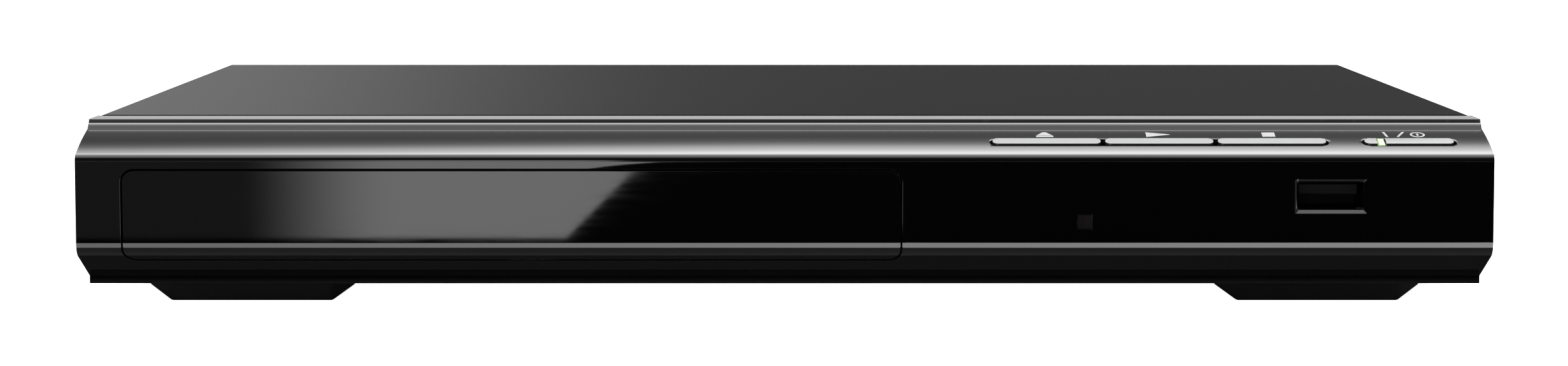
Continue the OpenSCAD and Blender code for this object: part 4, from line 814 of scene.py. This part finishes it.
bm = bmesh.new()
x = KEYS["eject"] - 0.15
inked(bm, [(x - 1.65, 8.95), (x + 1.65, 8.95), (x + 1.65, 9.75), (x - 1.65, 9.75)])
inked(bm, [(x - 1.5, 9.95), (x + 1.5, 9.95), (x + 0.35, 11.7), (x - 0.35, 11.7)])
x = KEYS["play"]
inked(bm, [(x - 2.2, 9.0), (x + 2.4, 10.3), (x + 2.4, 10.5), (x - 2.2, 11.7)])
x = KEYS["stop"] - 0.2
inked(bm, [(x - 1.25, 9.1), (x + 1.25, 9.1), (x + 1.25, 11.6), (x - 1.25, 11.6)])
inked(bm, [(115.7, 9.0), (116.15, 9.0), (115.75, 11.9), (115.3, 11.9)])
inked(bm, [(117.7, 9.0), (118.15, 9.0), (119.6, 11.9), (119.1, 11.9)])
inked(bm, ring(121.9, 10.3, 1.45), ring(121.9, 10.3, 1.05))
inked(bm, [(121.7, 9.7), (122.1, 9.7), (122.1, 10.9), (121.7, 10.9)])
bmesh.ops.recalc_face_normals(bm, faces=bm.faces)
for face in bm.faces:
    if face.normal.z < 0:
        face.normal_flip()
signs = piece_from(bm, "key_signs")
ink = signs.modifiers.new("ink", "SOLIDIFY")
ink.thickness = INK_T * mm
ink.offset = -1
white_ink, tree, shader, place = new_finish("white_ink", specular=0.4)
film = noise(tree, place, 0.0004, 3.0)
tint(tree, shader, film, (0.5, 0.5, 0.5), (0.6, 0.6, 0.6))
gloss(tree, shader, film, 0.3, 0.4)
signs.data.materials.append(white_ink)
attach(signs, "case")


# ---- Light and window ----
# A green light pipe crosses the power key and glows from the emitter under it. The window for the remote
# control is a dark filter set just behind the face.

pipe_light, tree, shader, place = new_finish("pipe_light")
shader.inputs["Roughness"].default_value = 0.25
cloud = noise(tree, place, 0.0008, 2.0)
tint(tree, shader, cloud, (0.42, 0.66, 0.30), (0.50, 0.76, 0.36))
shader.inputs["Emission Color"].default_value = (0.60, 0.85, 0.42, 1)
tree.links.new(between(tree, cloud, 0.5, 0.62), shader.inputs["Emission Strength"])
dress(pipe_light, "light_green", "power_light_pipe", "power_led")

window_filter, tree, shader, place = new_finish("window_filter")
haze = noise(tree, place, 0.001, 2.0)
tint(tree, shader, haze, (0.007, 0.0055, 0.006), (0.009, 0.007, 0.0075))
gloss(tree, shader, haze, 0.12, 0.18)
dress(window_filter, "window_dark", "ir_window")


# ---- Feet ----
# Moulded feet, wider at the top, with rounded edges and a recess that holds a rubber pad. One pair stands
# under the front of the case and one under its rear.

FOOT_X, FOOT_W, FOOT_L, FLARE, LEAN, PAD_OUT, SHOULDER = 106.8, 32.2, 20.0, 4.5, 1.2, 0.4, 3.6
FOOT_EASE, POCKET_IN, POCKET_D, POCKET_BACK, POCKET_T, POCKET_R = 0.35, 3.4, 6.8, 2.2, 0.8, 2


def foot_pair(name, d, node):
    """A pair of feet whose front edges stand at depth d."""
    bm = bmesh.new()
    for x in (-FOOT_X, FOOT_X):
        half = FOOT_W / 2
        low = block(bm, (x - half, x + half), (d, d + FOOT_L - 1), (PAD_OUT, SHOULDER))
        high = block(bm, (x - half - FLARE, x + half + FLARE), (d + LEAN, d + FOOT_L), (SHOULDER, LOW_Z))
        bmesh.ops.delete(bm, geom=list({f for v in low + high for f in v.link_faces}), context="FACES_ONLY")
        hull = bmesh.ops.convex_hull(bm, input=low + high)
        bmesh.ops.delete(bm, geom=hull["geom_interior"] + hull["geom_unused"], context="VERTS")
    bmesh.ops.dissolve_limit(bm, angle_limit=0.01, verts=bm.verts, edges=bm.edges)
    bmesh.ops.recalc_face_normals(bm, faces=bm.faces)
    edges = [e for e in bm.edges if not all(abs(v.co.z - LOW_Z * mm) < 1e-6 for v in e.verts)
        and e.calc_face_angle(0) > math.radians(10)]
    bmesh.ops.bevel(bm, geom=edges, offset=FOOT_EASE * mm, offset_type="OFFSET", segments=4, profile=0.5,
        affect="EDGES", clamp_overlap=True, material=-1)
    feet = piece_from(bm, name)
    for x in (-FOOT_X, FOOT_X):
        half = FOOT_W / 2 - POCKET_IN
        pocket = round_block((x - half, x + half), (d + POCKET_D, d + FOOT_L - POCKET_BACK),
            (PAD_OUT - 1, PAD_OUT + POCKET_T), POCKET_R, 2)
        shaped(feet, "DIFFERENCE", pocket)
    finish_off(feet, foot_plastic)
    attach(feet, "case")
    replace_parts(feet, node)


foot_plastic = moulded("foot_plastic", (0.014, 0.014, 0.015), 0.5, 0.0006, 0.00002)
foot_pair("front_foot_mouldings", 38.0, "front_feet")
foot_pair("rear_foot_mouldings", 175.0, "rear_feet")
